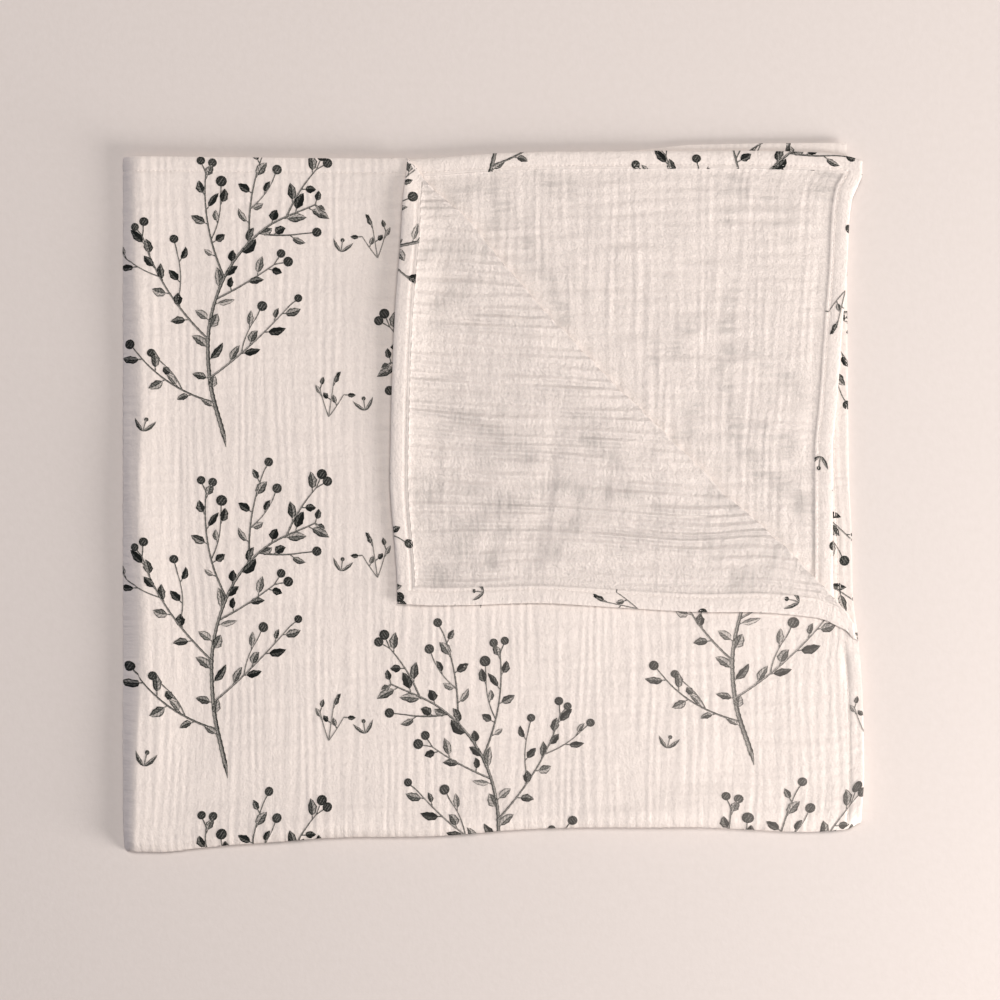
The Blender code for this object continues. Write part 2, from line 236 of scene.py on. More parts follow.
# Soft troughs (depth over 0) and ridges (under 0) on the layers that show, through places in mm from the
# blanket's middle
CREASES = table(
    "sheet places width depth",
    ("turned", [(57, 100), (51, 43), (39, -18), (26, -72)], 8.5, 1.0),
    ("turned", [(118, 52), (128, 14), (124, -30)], 9.0, 0.5),
    ("outer", [(-92, -134), (-30, -138), (32, -140)], 1.9, 0.35),
    ("outer", [(2, -149), (44, -150)], 1.6, 0.3),
    ("outer", [(168, -118), (218, -115)], 1.8, 0.3),
    ("outer", [(287, -122), (288, -140), (291, -158)], 3.2, 0.9),
    ("inner", [(168, 137), (188, 141), (207, 146)], 1.7, -0.55),
    ("inner", [(29, 186), (44, 193), (72, 197)], 1.9, 0.3),
)

THREAD = 0.36 * MM
THREAD_SIDES = 5
STITCH_SECTIONS = 5
STITCH_LENGTH = 2.5 * MM
STITCH_PITCH = 3.5 * MM
STITCH_SKEW = 0.12 * MM
STITCH_ARCH = 0.75  # how high a stitch arches over its ends, and how deep they are sunk, in threads
STITCH_SUNK = 0.15

# The print: arching leafy sprays in a half-drop repeat, with small sprigs and seedlings between them
INK_LIFT = 0.20 * MM
INK_LIFT_BELOW = 0.05 * MM  # on the half that lies under the other
INK_STEP = 1.7 * MM
LINE_WAVER = 0.14  # share of its width by which a drawn line wavers
INKED_HEM = HEM_WIDTH - 0.5 * MM
REPEAT_ACROSS = 212.0 * MM
REPEAT_UP = 262.0 * MM
REPEAT_START = (-130.0 * MM, -66.0 * MM)
REPEATS = range(-4, 5)
SQUEEZE_REACH = 60.0 * MM  # how far from the left fold the print is drawn closer together

# Share by which the ink is painted paler towards the low light at the right, a painted sheen, by the distance
# from the left fold, in mm
PRINT_PAINTED_SHEEN = table("along share", (140, 0.0), (300, 0.05), (430, 0.10), (560, 0.12))

MAIN_STEM = table("across up", (0, 0), (15, 42), (20, 90), (9, 136), (-17, 172), (-56, 196))
SHOOTS = table(
    "at angle length bend berries twigs",
    (0.12, -60, 72, -38, 1, 1),
    (0.21, 60, 86, 12, 1, 1),
    (0.34, -48, 100, -30, 2, 2),
    (0.48, 46, 56, 10, 2, 0),
    (0.56, -50, 88, -30, 2, 1),
    (0.72, -46, 74, -24, 1, 1),
    (0.77, 52, 34, 20, 1, 0),
    (0.89, -44, 46, -20, 2, 0),
)
STEM_WIDTH = 3.7 * MM
SHOOT_WIDTH = 1.75 * MM
STALK_WIDTH = 0.95 * MM
LEAF_LENGTH = 13.4 * MM
LEAF_WIDTH = 7.2 * MM
LEAF_PITCH = 11.4 * MM
LEAF_CELLS = 6
LEAF_TIP = 0.02 * MM  # half the width of its two ends
LEAF_WAVER = 0.12
BERRY_RADIUS = 4.2 * MM
BERRY_SIDES = 12

# Colours, as linear light
CLOTH_COLOUR = (0.765, 0.665, 0.607, 1.0)
CLOTH_DEEP = (0.66, 0.576, 0.53, 1.0)
GHOST_COLOUR = (0.44, 0.39, 0.36, 1.0)
INK_COLOUR = (0.011, 0.012, 0.011, 1.0)
INK_PALE = (0.16, 0.15, 0.135, 1.0)
THREAD_COLOUR = (0.88, 0.80, 0.74, 1.0)
FLOOR_COLOUR = (0.66, 0.583, 0.545, 1.0)
FLOOR_DEEP = (0.645, 0.569, 0.53, 1.0)
SKY_COLOUR = (0.98, 0.98, 1.0, 1.0)
KEY_COLOUR = (1.0, 0.99, 0.98)
LEFT_COLOUR = (0.30, 0.51, 1.0)

PLEAT_WANDER = 8.5

CAMERA_PLACE = (6.1 * MM, -2.1 * MM, 2275.0 * MM)
LENS = 100.0
SENSOR = 36.0
FLOOR_HALF = 4.0


def through(rows, place, unit=MM):
    """The table's value at a place, in its unit, on a smooth line through its rows. The line doesn't
    overshoot a row, and it is level past both ends."""
    along, value = (np.array(column) for column in zip(*rows))
    along, value = along * MM, value * unit
    rise = np.diff(value) / np.diff(along)
    same_way = rise[:-1] * rise[1:] > 0
    total = np.where(same_way, rise[:-1] + rise[1:], 1.0)
    slope = np.zeros(len(along))
    slope[1:-1] = np.where(same_way, 2 * rise[:-1] * rise[1:] / total, 0.0)
    row = np.clip(np.searchsorted(along, place) - 1, 0, len(along) - 2)
    step = along[row + 1] - along[row]
    f = np.clip((place - along[row]) / step, 0.0, 1.0)
    start = value[row] * (1 + 2 * f) + slope[row] * step * f
    end = value[row + 1] * (3 - 2 * f) - slope[row + 1] * step * (1 - f)
    return start * (1 - f) ** 2 + end * f**2


def eased(x):
    """0 below 0, 1 above 1, and a soft step between."""
    x = np.clip(x, 0.0, 1.0)
    return x * x * (3 - 2 * x)


def bump(x):
    """1 at 0, dying away softly past 1 on both sides."""
    return np.exp(-x * x)


def tapered(distance, width, thinning):
    """1 well inside an edge, falling towards it by the given share."""
    return 1 - thinning * (1 - np.sin(math.pi / 2 * np.clip(distance / width, 0.0, 1.0)))


def noise(a, b, seed):
    """Smooth noise over a lattice of step 1, mostly between -1 and 1."""
    turns = np.random.default_rng(seed).uniform(0, 2 * math.pi, (LATTICE, LATTICE))
    low_a, low_b = np.floor(a).astype(int), np.floor(b).astype(int)
    fa, fb = a - low_a, b - low_b
    corners = {}
    for i in (0, 1):
        for j in (0, 1):
            turn = turns[(low_a + i) % LATTICE, (low_b + j) % LATTICE]
            corners[i, j] = np.cos(turn) * (fa - i) + np.sin(turn) * (fb - j)
    wa, wb = (f**3 * (f * (6 * f - 15) + 10) for f in (fa, fb))
    low, high = (corners[0, j] * (1 - wa) + corners[1, j] * wa for j in (0, 1))
    return 1.6 * (low * (1 - wb) + high * wb)


def crinkle(kind, s, v):
    return kind.height * noise(s / kind.across, v / kind.up, kind.seed)


def edge_hold(distance):
    """1 in the strip next to an edge, fading to 0 inside the cloth."""
    return eased(1 - (distance - RIGID) / (FADE - RIGID))


def on_pile(s, v):
    """Where a place of the flat cloth comes on the pile, before any unevenness."""
    x = LEFT_AXIS + np.maximum(np.abs(s) - ARC_LEFT, 0.0)
    y = BOTTOM_AXIS + np.maximum(np.abs(v) - ARC_BOTTOM, 0.0)
    return x, y


def past_crease(x, y):
    """Distances along the crease and out past the line where the corner starts to turn."""
    dx, dy = x - CREASE_BEND[0], y - CREASE_BEND[1]
    return dx * CREASE_ALONG[0] + dy * CREASE_ALONG[1], dx * CREASE_OUT[0] + dy * CREASE_OUT[1]


def by_crease(run, past):
    """The place at such distances."""
    return [CREASE_BEND[i] + run * CREASE_ALONG[i] + past * CREASE_OUT[i] for i in (0, 1)]


def with_uneven_hems(s, v):
    """Draws each layer's free edges in or out to where its two hems lie."""
    x, y = on_pile(s, v)
    out_right, out_top = np.zeros_like(s), np.zeros_like(v)
    for layer in LAYERS:
        here = (s * layer.over >= 0) & (v * layer.outer >= 0)
        out_right[here] = through(layer.right_hem, y[here]) - RIGHT
        out_top[here] = through(layer.top_hem, x[here]) - TOP
    s_moved = s + np.sign(s) * out_right * edge_hold(RIGHT - x)
    v_moved = v + np.sign(v) * out_top * edge_hold(TOP - y)
    return s_moved, v_moved


def inside_edge(s, v):
    return np.minimum(HALF_ACROSS - np.abs(s), HALF_UP - np.abs(v))


def face_heights(s, v):
    """Heights of the printed face and the wrong face over the cloth's middle, with the hem's rolled edge, its
    line of stitches and its inner lip. The printed face is flat where the pile rests on it."""
    inside = inside_edge(s, v)
    hem = eased((HEM_WIDTH - inside) / HEM_SLOPE)
    rounding = np.clip(1 - inside / HEM_ROUND, 0.0, 1.0)
    puff = HEM_PUFF * np.sin(math.pi * np.clip(inside / STITCH_IN, 0.0, 1.0))
    _, past = past_crease(*on_pile(s, v))
    sewn = 1 - CREASE_SMOOTHED * bump(past / CREASE_SOFT) * (s > 0) * (v > 0)
    sewn *= np.where(v < 0, INNER_SEWN, 1.0)
    pinch = STITCH_PINCH * bump((inside - STITCH_IN) / STITCH_PINCH_WIDTH) * sewn
    lip = HEM_LIP * bump((inside - (HEM_WIDTH - HEM_SLOPE)) / HEM_LIP_WIDTH) * sewn
    printed = THICK / 2 - PRINT_ROUND * rounding + PRINTED_PUFF * puff * (s > 0) - pinch
    wrong = -THICK / 2 - HEM_EXTRA * hem + WRONG_ROUND * rounding + pinch - puff - lip
    return printed, wrong


def covered(x, y):
    """How far a place of the top layer is under the turned corner: 0 where it lies open, 1 well under it."""
    run, past = past_crease(x, y)
    x_over, y_over = by_crease(run, -past)
    inside = np.minimum(np.minimum(RIGHT - x_over, TOP - y_over), -past)
    return eased(inside / COVER_FADE)


def crinkles(s, v):
    """How far the cloth's middle is pushed to its printed side by its crinkles: ridges up the cloth, crossed
    by ripples. They are held down in the hems, at the crease, and where a layer is covered."""
    x, y = on_pile(s, v)
    _, past = past_crease(x, y)
    outer = v > 0
    inner = eased((-v - INNER_START) / INNER_GROWTH)
    turned = outer * eased(past / COVER_FADE)
    uncovered = eased(past / COVER_FADE + INNER_SHOWN)
    under = outer * covered(x, y) + inner * (1 - uncovered)
    wander = crinkle(RIDGE_WANDER, s, v)
    ridges = crinkle(RIDGES, s + wander, v) + crinkle(FINE_RIDGES, s + wander, v)
    ripples = crinkle(CROSS_RIPPLES, s, v + wander)
    height = -INNER_RISE * inner
    for waves, gains in zip((ridges, ripples), zip(*GAINS)):
        gain = 1 + sum((g - 1) * share for g, share in zip(gains, (inner * uncovered, turned, under)))
        height = height + waves * gain
    inside = inside_edge(s, v)
    free = HEM_HOLD + (1 - HEM_HOLD) * eased((inside - HEM_WIDTH) / HEM_HOLD_FADE)
    along_edge = np.where(HALF_ACROSS - np.abs(s) < HALF_UP - np.abs(v), v, s)
    pucker = HEM_PUCKER.height * noise(along_edge / HEM_PUCKER.across, inside / HEM_WIDTH, HEM_PUCKER.seed)
    pucker *= eased(PUCKER_REACH - inside / HEM_WIDTH)
    pressed = 1 - PRESSED_CRINKLES * bump(past / PRESS_REACH) * outer
    return (height * free * pressed + pucker) * eased((s + CRINKLED_FROM) / CRINKLED_GROWTH)


def fold(place, height, bend, stretch=1.0):
    """A fold across the cloth: the distance from its axis, and the height over what it folds."""
    angle = np.clip(place / bend, -math.pi / 2, math.pi / 2)
    past = np.maximum(np.abs(place) - math.pi / 2 * bend, 0.0)
    radius = bend + height
    return past - radius * np.cos(angle) * stretch, radius * np.sin(angle)


def crease_shade_mask(s, v):
    """How near a place of the cloth is to the outermost line of the turned corner's crease, as the mask of
    the painted shade that darkens that line.
    """
    s_moved, v_moved = with_uneven_hems(s, v)
    _, past = past_crease(*on_pile(s_moved, v_moved))
    corner = (s_moved > ARC_LEFT) & (v_moved > ARC_BOTTOM)
    return corner * bump((past / BEND_CORNER - CREASE_TOP) / CREASE_TOP_WIDTH)


def turn_corner(x, y, height, from_top, place):
    """Turns the free corner of the top outer layer back over the layer, with its hem a little lifted."""
    run, past = past_crease(x, y)
    angle = np.clip(past / BEND_CORNER, 0.0, math.pi)
    beyond = np.maximum(past - math.pi * BEND_CORNER, 0.0)
    height = height * (1 - PRESSED_THICKNESS * bump((np.minimum(past, 0.0) - beyond) / PRESSED_EDGE))
    turned = np.where(past < 0, past, (BEND_CORNER - height) * np.sin(angle) - beyond)
    pressed = 1 - through(PRESS, run, unit=1.0) * bump(turned / PRESS_REACH)
    up = BEND_CORNER * (1 - np.cos(angle)) * pressed + height * np.cos(angle)
    lift = eased(1 - from_top / LIFT_REACH) * (1 - HEM_DROOP * eased(1 - from_top / HEM_WIDTH))
    up += through(TURNED_LIFT, place) * lift * eased(beyond / LIFT_START)
    nicks = CREASE_NICKS.height * noise(run / CREASE_NICKS.across, 0.5, CREASE_NICKS.seed)
    wave = through(CREASE_WAVE, run) * bump(turned / CREASE_WAVE_REACH)
    wave += nicks * bump(turned / CREASE_NICKS.up)
    wave *= eased(run / LIFT_START + 1) * eased((CREASE_LENGTH - run) / LIFT_START + 1)
    return *by_crease(run, turned + wave), up


def distance_to(places, x, y):
    """The distance to a line through places, and how near its ends it is: 0 at them and 1 well inside."""
    nearest = np.full(x.shape, 1.0)
    fade = np.zeros(x.shape)
    points = np.array(places) * MM
    steps = np.hypot(*np.diff(points, axis=0).T)
    before = np.concatenate(([0.0], np.cumsum(steps)))
    for first, second, step, start in zip(points[:-1], points[1:], steps, before):
        direction = (second - first) / step
        along = (x - first[0]) * direction[0] + (y - first[1]) * direction[1]
        clipped = np.clip(along, 0.0, step)
        away = np.hypot(x - first[0] - clipped * direction[0], y - first[1] - clipped * direction[1])
        closer = away < nearest
        nearest = np.where(closer, away, nearest)
        fade = np.where(closer, np.sin(math.pi * ((start + clipped) / before[-1])) ** 0.5, fade)
    return nearest, fade


def creased(x, y, sheet):
    """How far a sheet that shows is pushed down by the creases that are listed for it."""
    down = np.zeros_like(x)
    for crease in CREASES:
        if crease.sheet == sheet:
            away, fade = distance_to(crease.places, x, y)
            down += crease.depth * MM * fade * bump(away / (crease.width * MM))
    return down


def folded(s, v, height):
    """Where points at the given heights over the flat cloth's middle lie on the folded blanket."""
    s_moved, v_moved = with_uneven_hems(s, v)
    height = height + crinkles(s, v)
    stretch = through(LEFT_STRETCH, on_pile(s_moved, v_moved)[1], unit=1.0)
    up_from_fold, over_pair = fold(v_moved, height, BEND_BOTTOM)
    right_of_fold, over_middle = fold(s_moved, over_pair, BEND_LEFT, stretch)
    x, y, z = LEFT_AXIS + right_of_fold, BOTTOM_AXIS + up_from_fold, HALF_PILE + over_middle

    corner = (s_moved > ARC_LEFT) & (v_moved > ARC_BOTTOM)
    _, past = past_crease(x[corner], y[corner])
    from_top = HALF_UP - v[corner]
    place = on_pile(s, v)[0][corner]
    x[corner], y[corner], up = turn_corner(x[corner], y[corner], height[corner], from_top, place)
    z[corner] = HALF_PILE + BEND_LEFT + BEND_BOTTOM + up

    wider = HALF_PILE * (stretch - 1)
    swell = 1 + through(LEFT_SWELL, y, unit=1.0) * eased(1 - (x - LEFT - wider) / SWELL_REACH)
    swell += through(BOTTOM_SWELL, x, unit=1.0) * eased(1 - (y - BOTTOM) / SWELL_REACH)
    swell += crinkle(PILE_WAVES, x, y)
    x_even = x + edge_hold(x - LEFT) * wider
    swell *= tapered(x_even - LEFT, through(LEFT_TAPER, y), LEFT_THINNING)
    swell *= tapered(y - BOTTOM, BOTTOM_TAPER, BOTTOM_THINNING)
    x_uneven = x_even + edge_hold(x - LEFT) * (through(LEFT_FOLD, y) - LEFT)
    y_uneven = y + edge_hold(y - BOTTOM) * (through(BOTTOM_FOLD, x_even) - BOTTOM)

    z = z * swell
    turned = np.zeros(x.shape, bool)
    turned[corner] = past > math.pi * BEND_CORNER
    outer = (s > 0) & (v > 0) & ~turned
    inner = (s > 0) & (v < 0)
    for sheet, here in (("turned", turned), ("outer", outer), ("inner", inner)):
        z[here] -= creased(x_uneven[here], y_uneven[here], sheet)
    return np.stack((x_uneven, y_uneven, z), axis=1)


def crease_column(v):
    """The place across the cloth at which a row of the top layers meets the crease."""
    y = on_pile(0.0, v)[1]
    return CREASE_BEND[0] - (y - CREASE_BEND[1]) * CREASE_OUT[1] / CREASE_OUT[0] - LEFT_AXIS + ARC_LEFT


def stepped(start, end, step):
    """Places from start up to, and not at, end, at most a step apart."""
    count = max(1, math.ceil(abs(end - start) / step))
    return np.linspace(start, end, count + 1)[:-1]


def grid_rows(step_up, step_down, shown_from):
    """Places of a face's rows up the cloth. The steps are for the upper half and the lower half of the cloth,
    in the stretch that starts shown_from up the pile, and the rest is coarse."""
    hem, inner = HALF_UP - HEM_LINES[:-1], HALF_UP - HEM_LINES[-1]
    split = ARC_BOTTOM + max(shown_from, 0.0)
    far = stepped(split, ARC_BOTTOM, COARSE_UP) if split > ARC_BOTTOM else np.zeros(0)
    upper, lower = (np.concatenate((hem, stepped(inner, split, step), far)) for step in (step_up, step_down))
    bend = np.linspace(ARC_BOTTOM, -ARC_BOTTOM, FOLD_CELLS + 1)
    return np.concatenate((upper, bend, -lower[::-1]))[::-1]


def grid_columns():
    """Places of all columns across the cloth, and which of them every row has."""
    hem, inner = HALF_ACROSS - HEM_LINES[:-1], HALF_ACROSS - HEM_LINES[-1]
    fine = stepped(inner, ARC_LEFT, FINE_ACROSS)
    bend = np.linspace(ARC_LEFT, -ARC_LEFT, FOLD_CELLS + 1)
    below = -stepped(inner, ARC_LEFT, COVERED_ACROSS)[::-1]
    places = np.concatenate((hem, fine, bend, below, -hem[::-1]))
    always = np.ones(len(places), bool)
    always[len(hem) : len(hem) + len(fine)] = np.arange(len(fine)) % COARSE_EVERY == 0
    return places[::-1], always[::-1]


def face_grid(rows, shows):
    """Points and triangles of one face of the flat cloth. shows says, for a row, from where to where its
    columns are fine, and rows with other columns are joined point by point."""
    places, always = grid_columns()
    s, v, spans, triangles = [], [], [], []
    for row in rows:
        first, last = shows(row)
        kept = places[always | ((places > first) & (places < last))]
        spans.append((len(s), len(s) + len(kept) - 1))
        s.extend(kept)
        v.extend([row] * len(kept))
    for (a, last_a), (b, last_b) in zip(spans[:-1], spans[1:]):
        while a < last_a or b < last_b:
            if b == last_b or (a < last_a and s[a + 1] <= s[b + 1]):
                triangles.append((a, a + 1, b))
                a += 1
            else:
                triangles.append((a, b + 1, b))
                b += 1
    return np.array(s), np.array(v), triangles


def printed_shows(row):
    if row <= 0:
        return 1.0, 1.0
    if on_pile(0.0, row)[1] < TURNED_BOTTOM + SHOWN_MARGIN:
        return 0.0, 1.0
    return 0.0, TURNED_LEFT + SHOWN_MARGIN - LEFT_AXIS + ARC_LEFT


def wrong_shows(row):
    first = crease_column(abs(row))
    if HALF_UP - abs(row) > ARC_BOTTOM and first > HALF_ACROSS + SHOWN_MARGIN:
        return 1.0, 1.0
    return first - SHOWN_MARGIN, 1.0


def flat_mesh(points, values, faces):
    """A flat mesh whose points carry values, and the layers that hold those."""
    mesh = bmesh.new()
    layers = [mesh.verts.layers.float.new(str(i)) for i in range(len(values[0]))]
    for point, carried in zip(points, values):
        vert = mesh.verts.new((*point, 0.0))
        for layer, value in zip(layers, carried):
            vert[layer] = value
    mesh.verts.ensure_lookup_table()
    for face in faces:
        mesh.faces.new([mesh.verts[i] for i in face])
    return mesh, layers


def cut_along(mesh, faces, places, normal):
    """Cuts faces of a flat mesh along parallel lines, each through a place."""
    mesh.verts.index_update()
    mesh.edges.index_update()
    parts = list(faces)
    for kind in ("edges", "verts"):
        parts += sorted({part for f in faces for part in getattr(f, kind)}, key=lambda part: part.index)
    for place in places:
        line = {"plane_co": (*place, 0), "plane_no": (*normal, 0)}
        parts = bmesh.ops.bisect_plane(mesh, geom=parts, dist=MERGE / 10, **line)["geom"]


def read_mesh(mesh, layers):
    """Splits a flat mesh into triangles, and gives its places, what its points carry, its triangles and its
    rim's points."""
    bmesh.ops.triangulate(mesh, faces=mesh.faces)
    mesh.verts.index_update()
    places = np.array([p.co[:2] for p in mesh.verts])
    values = np.array([[p[layer] for layer in layers] for p in mesh.verts])
    faces = [[p.index for p in f.verts] for f in mesh.faces]
    rim = [p.index for p in mesh.verts if p.is_boundary]
    mesh.free()
    return places, values, faces, rim


def cut_at_crease(mesh):
    """Cuts a flat mesh along the lines where the turned corner bends. The mesh's points are places on the
    cloth with uneven hems."""
    origin = np.array((LEFT_AXIS - ARC_LEFT, BOTTOM_AXIS - ARC_BOTTOM))
    near = []
    for face in mesh.faces:
        s, v, _ = face.calc_center_median()
        _, past = past_crease(s + origin[0], v + origin[1])
        if s > ARC_LEFT and v > ARC_BOTTOM and abs(past) < CUT_REACH:
            near.append(face)
    bends = [math.pi * BEND_CORNER * step / CREASE_CELLS for step in range(CREASE_CELLS + 1)]
    cut_along(mesh, near, [CREASE_BEND + CREASE_OUT * bend - origin for bend in bends], CREASE_OUT)


def round_the_rim(s, v):
    """How far round the cloth's edge a point on it is, from 0 to 4, against the clock from the lower left."""
    a, b = (s / HALF_ACROSS + 1) / 2, (v / HALF_UP + 1) / 2
    if b < RIM_SLACK and a < 1 - RIM_SLACK:
        return a
    if a > 1 - RIM_SLACK and b < 1 - RIM_SLACK:
        return 1 + b
    if b > 1 - RIM_SLACK and a > RIM_SLACK:
        return 3 - a
    return 4 - b


def flat_face(rows, shows):
    """One face of the flat cloth, cut where its corner bends: the points' places, the triangles, and the rim,
    which gives in order each point's place round the cloth and its number."""
    s, v, triangles = face_grid(rows, shows)
    mesh, layers = flat_mesh(np.transpose(with_uneven_hems(s, v)), np.transpose((s, v)), triangles)
    cut_at_crease(mesh)
    bmesh.ops.remove_doubles(mesh, verts=mesh.verts, dist=MERGE)
    _, places, faces, rim = read_mesh(mesh, layers)
    return places.T, faces, sorted((round_the_rim(*places[i]), i) for i in rim)


def rim_strip(printed_rim, wrong_rim):
    """Triangles that join two closed rims."""
    printed, wrong = ([*rim, (4, rim[0][1]), (5, rim[0][1])] for rim in (printed_rim, wrong_rim))
    a, b, strip = 0, 0, []
    while a < len(printed_rim) or b < len(wrong_rim):
        here, there = printed[a][1], wrong[b][1]
        if b == len(wrong_rim) or (a < len(printed_rim) and printed[a + 1][0] <= wrong[b + 1][0]):
            a += 1
            strip.append((printed[a][1], here, there))
        else:
            b += 1
            strip.append((here, there, wrong[b][1]))
    return strip


def placed(name, data, place=(0, 0, 0)):
    thing = bpy.data.objects.new(name, data)
    thing.location = place
    bpy.context.collection.objects.link(thing)
    return thing


def new_object(name, points, faces, material):
    mesh = bpy.data.meshes.new(name)
    mesh.from_pydata(np.asarray(points).tolist(), [], faces)
    mesh.materials.append(material)
    mesh.shade_smooth()
    return placed(name, mesh)


def add_uv(piece, name, places):
    """Stores a pair of values for each point as a UV map."""
    layer = piece.data.uv_layers.new(name=name)
    corners = np.zeros(len(piece.data.loops), np.int32)
    piece.data.loops.foreach_get("vertex_index", corners)
    layer.data.foreach_set("uv", np.asarray(places, np.float32)[corners].ravel())


def add_value(piece, name, values):
    attribute = piece.data.attributes.new(name, "FLOAT", "POINT")
    attribute.data.foreach_set("value", np.asarray(values, np.float32))


def gauze_sheet(material, ink):
    """The whole cloth as one closed sheet, folded."""
    low_shown = CREASE_END[1] - BOTTOM_AXIS - 2 * SHOWN_MARGIN
    printed_rows = grid_rows(FINE_UP, COARSE_UP, 0.0)
    wrong_rows = grid_rows(FINE_UP, FINE_UP_REVERSE, low_shown)
    printed_places, faces, printed_rim = flat_face(printed_rows, printed_shows)
    wrong_places, wrong_faces, wrong_rim = flat_face(wrong_rows, wrong_shows)
    printed = folded(*printed_places, face_heights(*printed_places)[0])
    wrong = folded(*wrong_places, face_heights(*wrong_places)[1])
    count = len(printed)
    points = np.concatenate((printed, wrong))
    middle = (points.min(axis=0) + points.max(axis=0)) / 2 * (1, 1, 0)

    faces += [[i + count for i in reversed(face)] for face in wrong_faces]
    faces += rim_strip(printed_rim, [(at, i + count) for at, i in wrong_rim])
    sheet = new_object("gauze_sheet", points - middle, faces, material)
    sheet.data.set_sharp_from_angle(angle=SHARP_ANGLE)
    add_uv(sheet, "cloth", np.concatenate((printed_places, wrong_places), axis=1).T)
    single = inside_edge(*wrong_places) > HEM_WIDTH - HEM_SLOPE / 2
    for name, values in (
        ("ghost", ink.seen_through(wrong_places) * single),
        ("reverse", np.where(wrong_places[1] > 0, TURNED_MARK, 1.0) * single),
        # where painted shade darkens the crease's outermost line
        ("crease", crease_shade_mask(*wrong_places)),
        ("hem", 1.0 - single),
    ):
        add_value(sheet, name, np.concatenate((np.zeros(count), values)))
    return sheet, middle


class Ink:
    """Marks of the print on the flat cloth: points in metres across and up it, triangles, and for each point
    its place in its mark and how dark the mark is."""

    def __init__(self):
        self.points, self.marks, self.tones, self.faces = [], [], [], []

    def add(self, points, marks, tones, faces):
        self.faces.extend((np.asarray(faces) + len(self.points)).tolist())
        self.points.extend(points)
        self.marks.extend(marks)
        self.tones.extend(np.broadcast_to(tones, len(points)))

    def copy_to(self, sheet, middle, turn, flip):
        """Copies the marks to a sheet, turned, maybe mirrored and moved, where they are on the cloth."""
        x, y = np.array(self.points).T
        cos, sin = math.cos(turn), math.sin(turn)
        points = np.stack(((x * cos - y * sin) * flip, x * sin + y * cos), axis=1) + middle
        faces = np.array(self.faces)[:, ::flip]
        centres = np.abs(points[faces].mean(axis=1))
        faces = faces[(centres < np.array((HALF_ACROSS, HALF_UP)) + HEM_WIDTH).all(axis=1)]
        used, faces = np.unique(faces, return_inverse=True)
        marks, tones = np.array(self.marks)[used], np.array(self.tones)[used]
        sheet.add(points[used], marks, tones, faces.reshape(-1, 3))


def direction_of(angle):
    return np.array((math.cos(angle), math.sin(angle)))


def strip_faces(rows, wide):
    """Triangles of a strip of rows of points, each as wide."""
    corners = [row * wide + column for row in range(rows - 1) for column in range(wide - 1)]
    return [face for a in corners for face in ((a, a + 1, a + 1 + wide), (a, a + 1 + wide, a + wide))]


def ribbon(ink, path, start_width, end_width, tone):
    """A drawn line of changing width along a path."""
    path = np.asarray(path)
    along = np.concatenate(([0.0], np.cumsum(np.hypot(*np.diff(path, axis=0).T))))
    count = max(2, math.ceil(along[-1] / INK_STEP))
    at = np.linspace(0, along[-1], count + 1)
    line = np.stack([np.interp(at, along, path[:, axis]) for axis in (0, 1)], axis=1)
    run = np.gradient(line, axis=0)
    run /= np.hypot(*run.T)[:, None]
    side = np.stack((-run[:, 1], run[:, 0]), axis=1)
    points, marks = [], []
    for i, place in enumerate(line):
        half = (start_width + (end_width - start_width) * i / count) / 2
        half *= 1 + LINE_WAVER * math.sin(i * 2.1 + tone * 9)
        for across in (-1, 0, 1):
            points.append(place + side[i] * half * across)
            marks.append((at[i] / (10 * MM), across))
    ink.add(points, marks, tone, strip_faces(count + 1, 3))


def leaf(ink, base, angle, length, width, bend, tone):
    """A pointed leaf from its base, growing at an angle and bending as it goes, with one half darker and one
    slimmer."""
    points, marks = [], []
    place = np.array(base)
    dark_side = 1 if math.sin(tone * 97) > 0 else -1
    slimmer = 0.70 + 0.3 * math.sin(tone * 53) ** 2
    for row in range(LEAF_CELLS + 1):
        t = row / LEAF_CELLS
        turn = angle + bend * (t - 0.4)
        if row:
            place = place + length / LEAF_CELLS * direction_of(turn)
        side = np.array((-math.sin(turn), math.cos(turn)))
        half = width / 2 * math.sin(math.pi * t**0.82) ** 0.86 if 0 < row < LEAF_CELLS else LEAF_TIP
        for across in (-1, -0.5, 0, 0.5, 1):
            reach = half * (1 + LEAF_WAVER * math.sin(row * 2.6 + tone * 31 + across))
            reach *= slimmer if across * dark_side > 0 else 1.0
            points.append(place + side * reach * across)
            marks.append((t, across * dark_side))
    ink.add(points, marks, tone, strip_faces(LEAF_CELLS + 1, 5))


def berry(ink, centre, radius, tone):
    """A round berry, as rings about its middle."""
    points, marks = [np.array(centre)], [(0.0, 0.0)]
    for share in (0.5, 1.0):
        for side in range(BERRY_SIDES):
            across = direction_of(2 * math.pi * side / BERRY_SIDES)
            points.append(centre + across * radius * share)
            marks.append(tuple(across * share))
    ring = [(a, a % BERRY_SIDES + 1) for a in range(1, BERRY_SIDES + 1)]
    faces = [(0, a, b) for a, b in ring]
    for a, b in ring:
        faces += [(a, a + BERRY_SIDES, b + BERRY_SIDES), (a, b + BERRY_SIDES, b)]
    ink.add(points, marks, tone, faces)


def smooth_path(rows, count=40):
    """A smooth line through a table's points."""
    points = np.array(rows, float) * MM
    ends = np.concatenate(([2 * points[0] - points[1]], points, [2 * points[-1] - points[-2]]))
    path = []
    for i in range(1, len(ends) - 2):
        p0, p1, p2, p3 = ends[i - 1 : i + 3]
        for t in np.linspace(0, 1, count // (len(points) - 1), endpoint=False):
            square = (2 * p0 - 5 * p1 + 4 * p2 - p3) * t**2
            cube = (3 * p1 - p0 - 3 * p2 + p3) * t**3
            path.append((2 * p1 + (p2 - p0) * t + square + cube) / 2)
    return np.array([*path, points[-1]])


def bent_path(start, angle, length, bend, count=14):
    """A line from a point, bending evenly as it goes."""
    path = [np.array(start)]
    for i in range(count):
        path.append(path[-1] + length / count * direction_of(angle + bend * (i + 0.5) / count))
    return np.array(path)


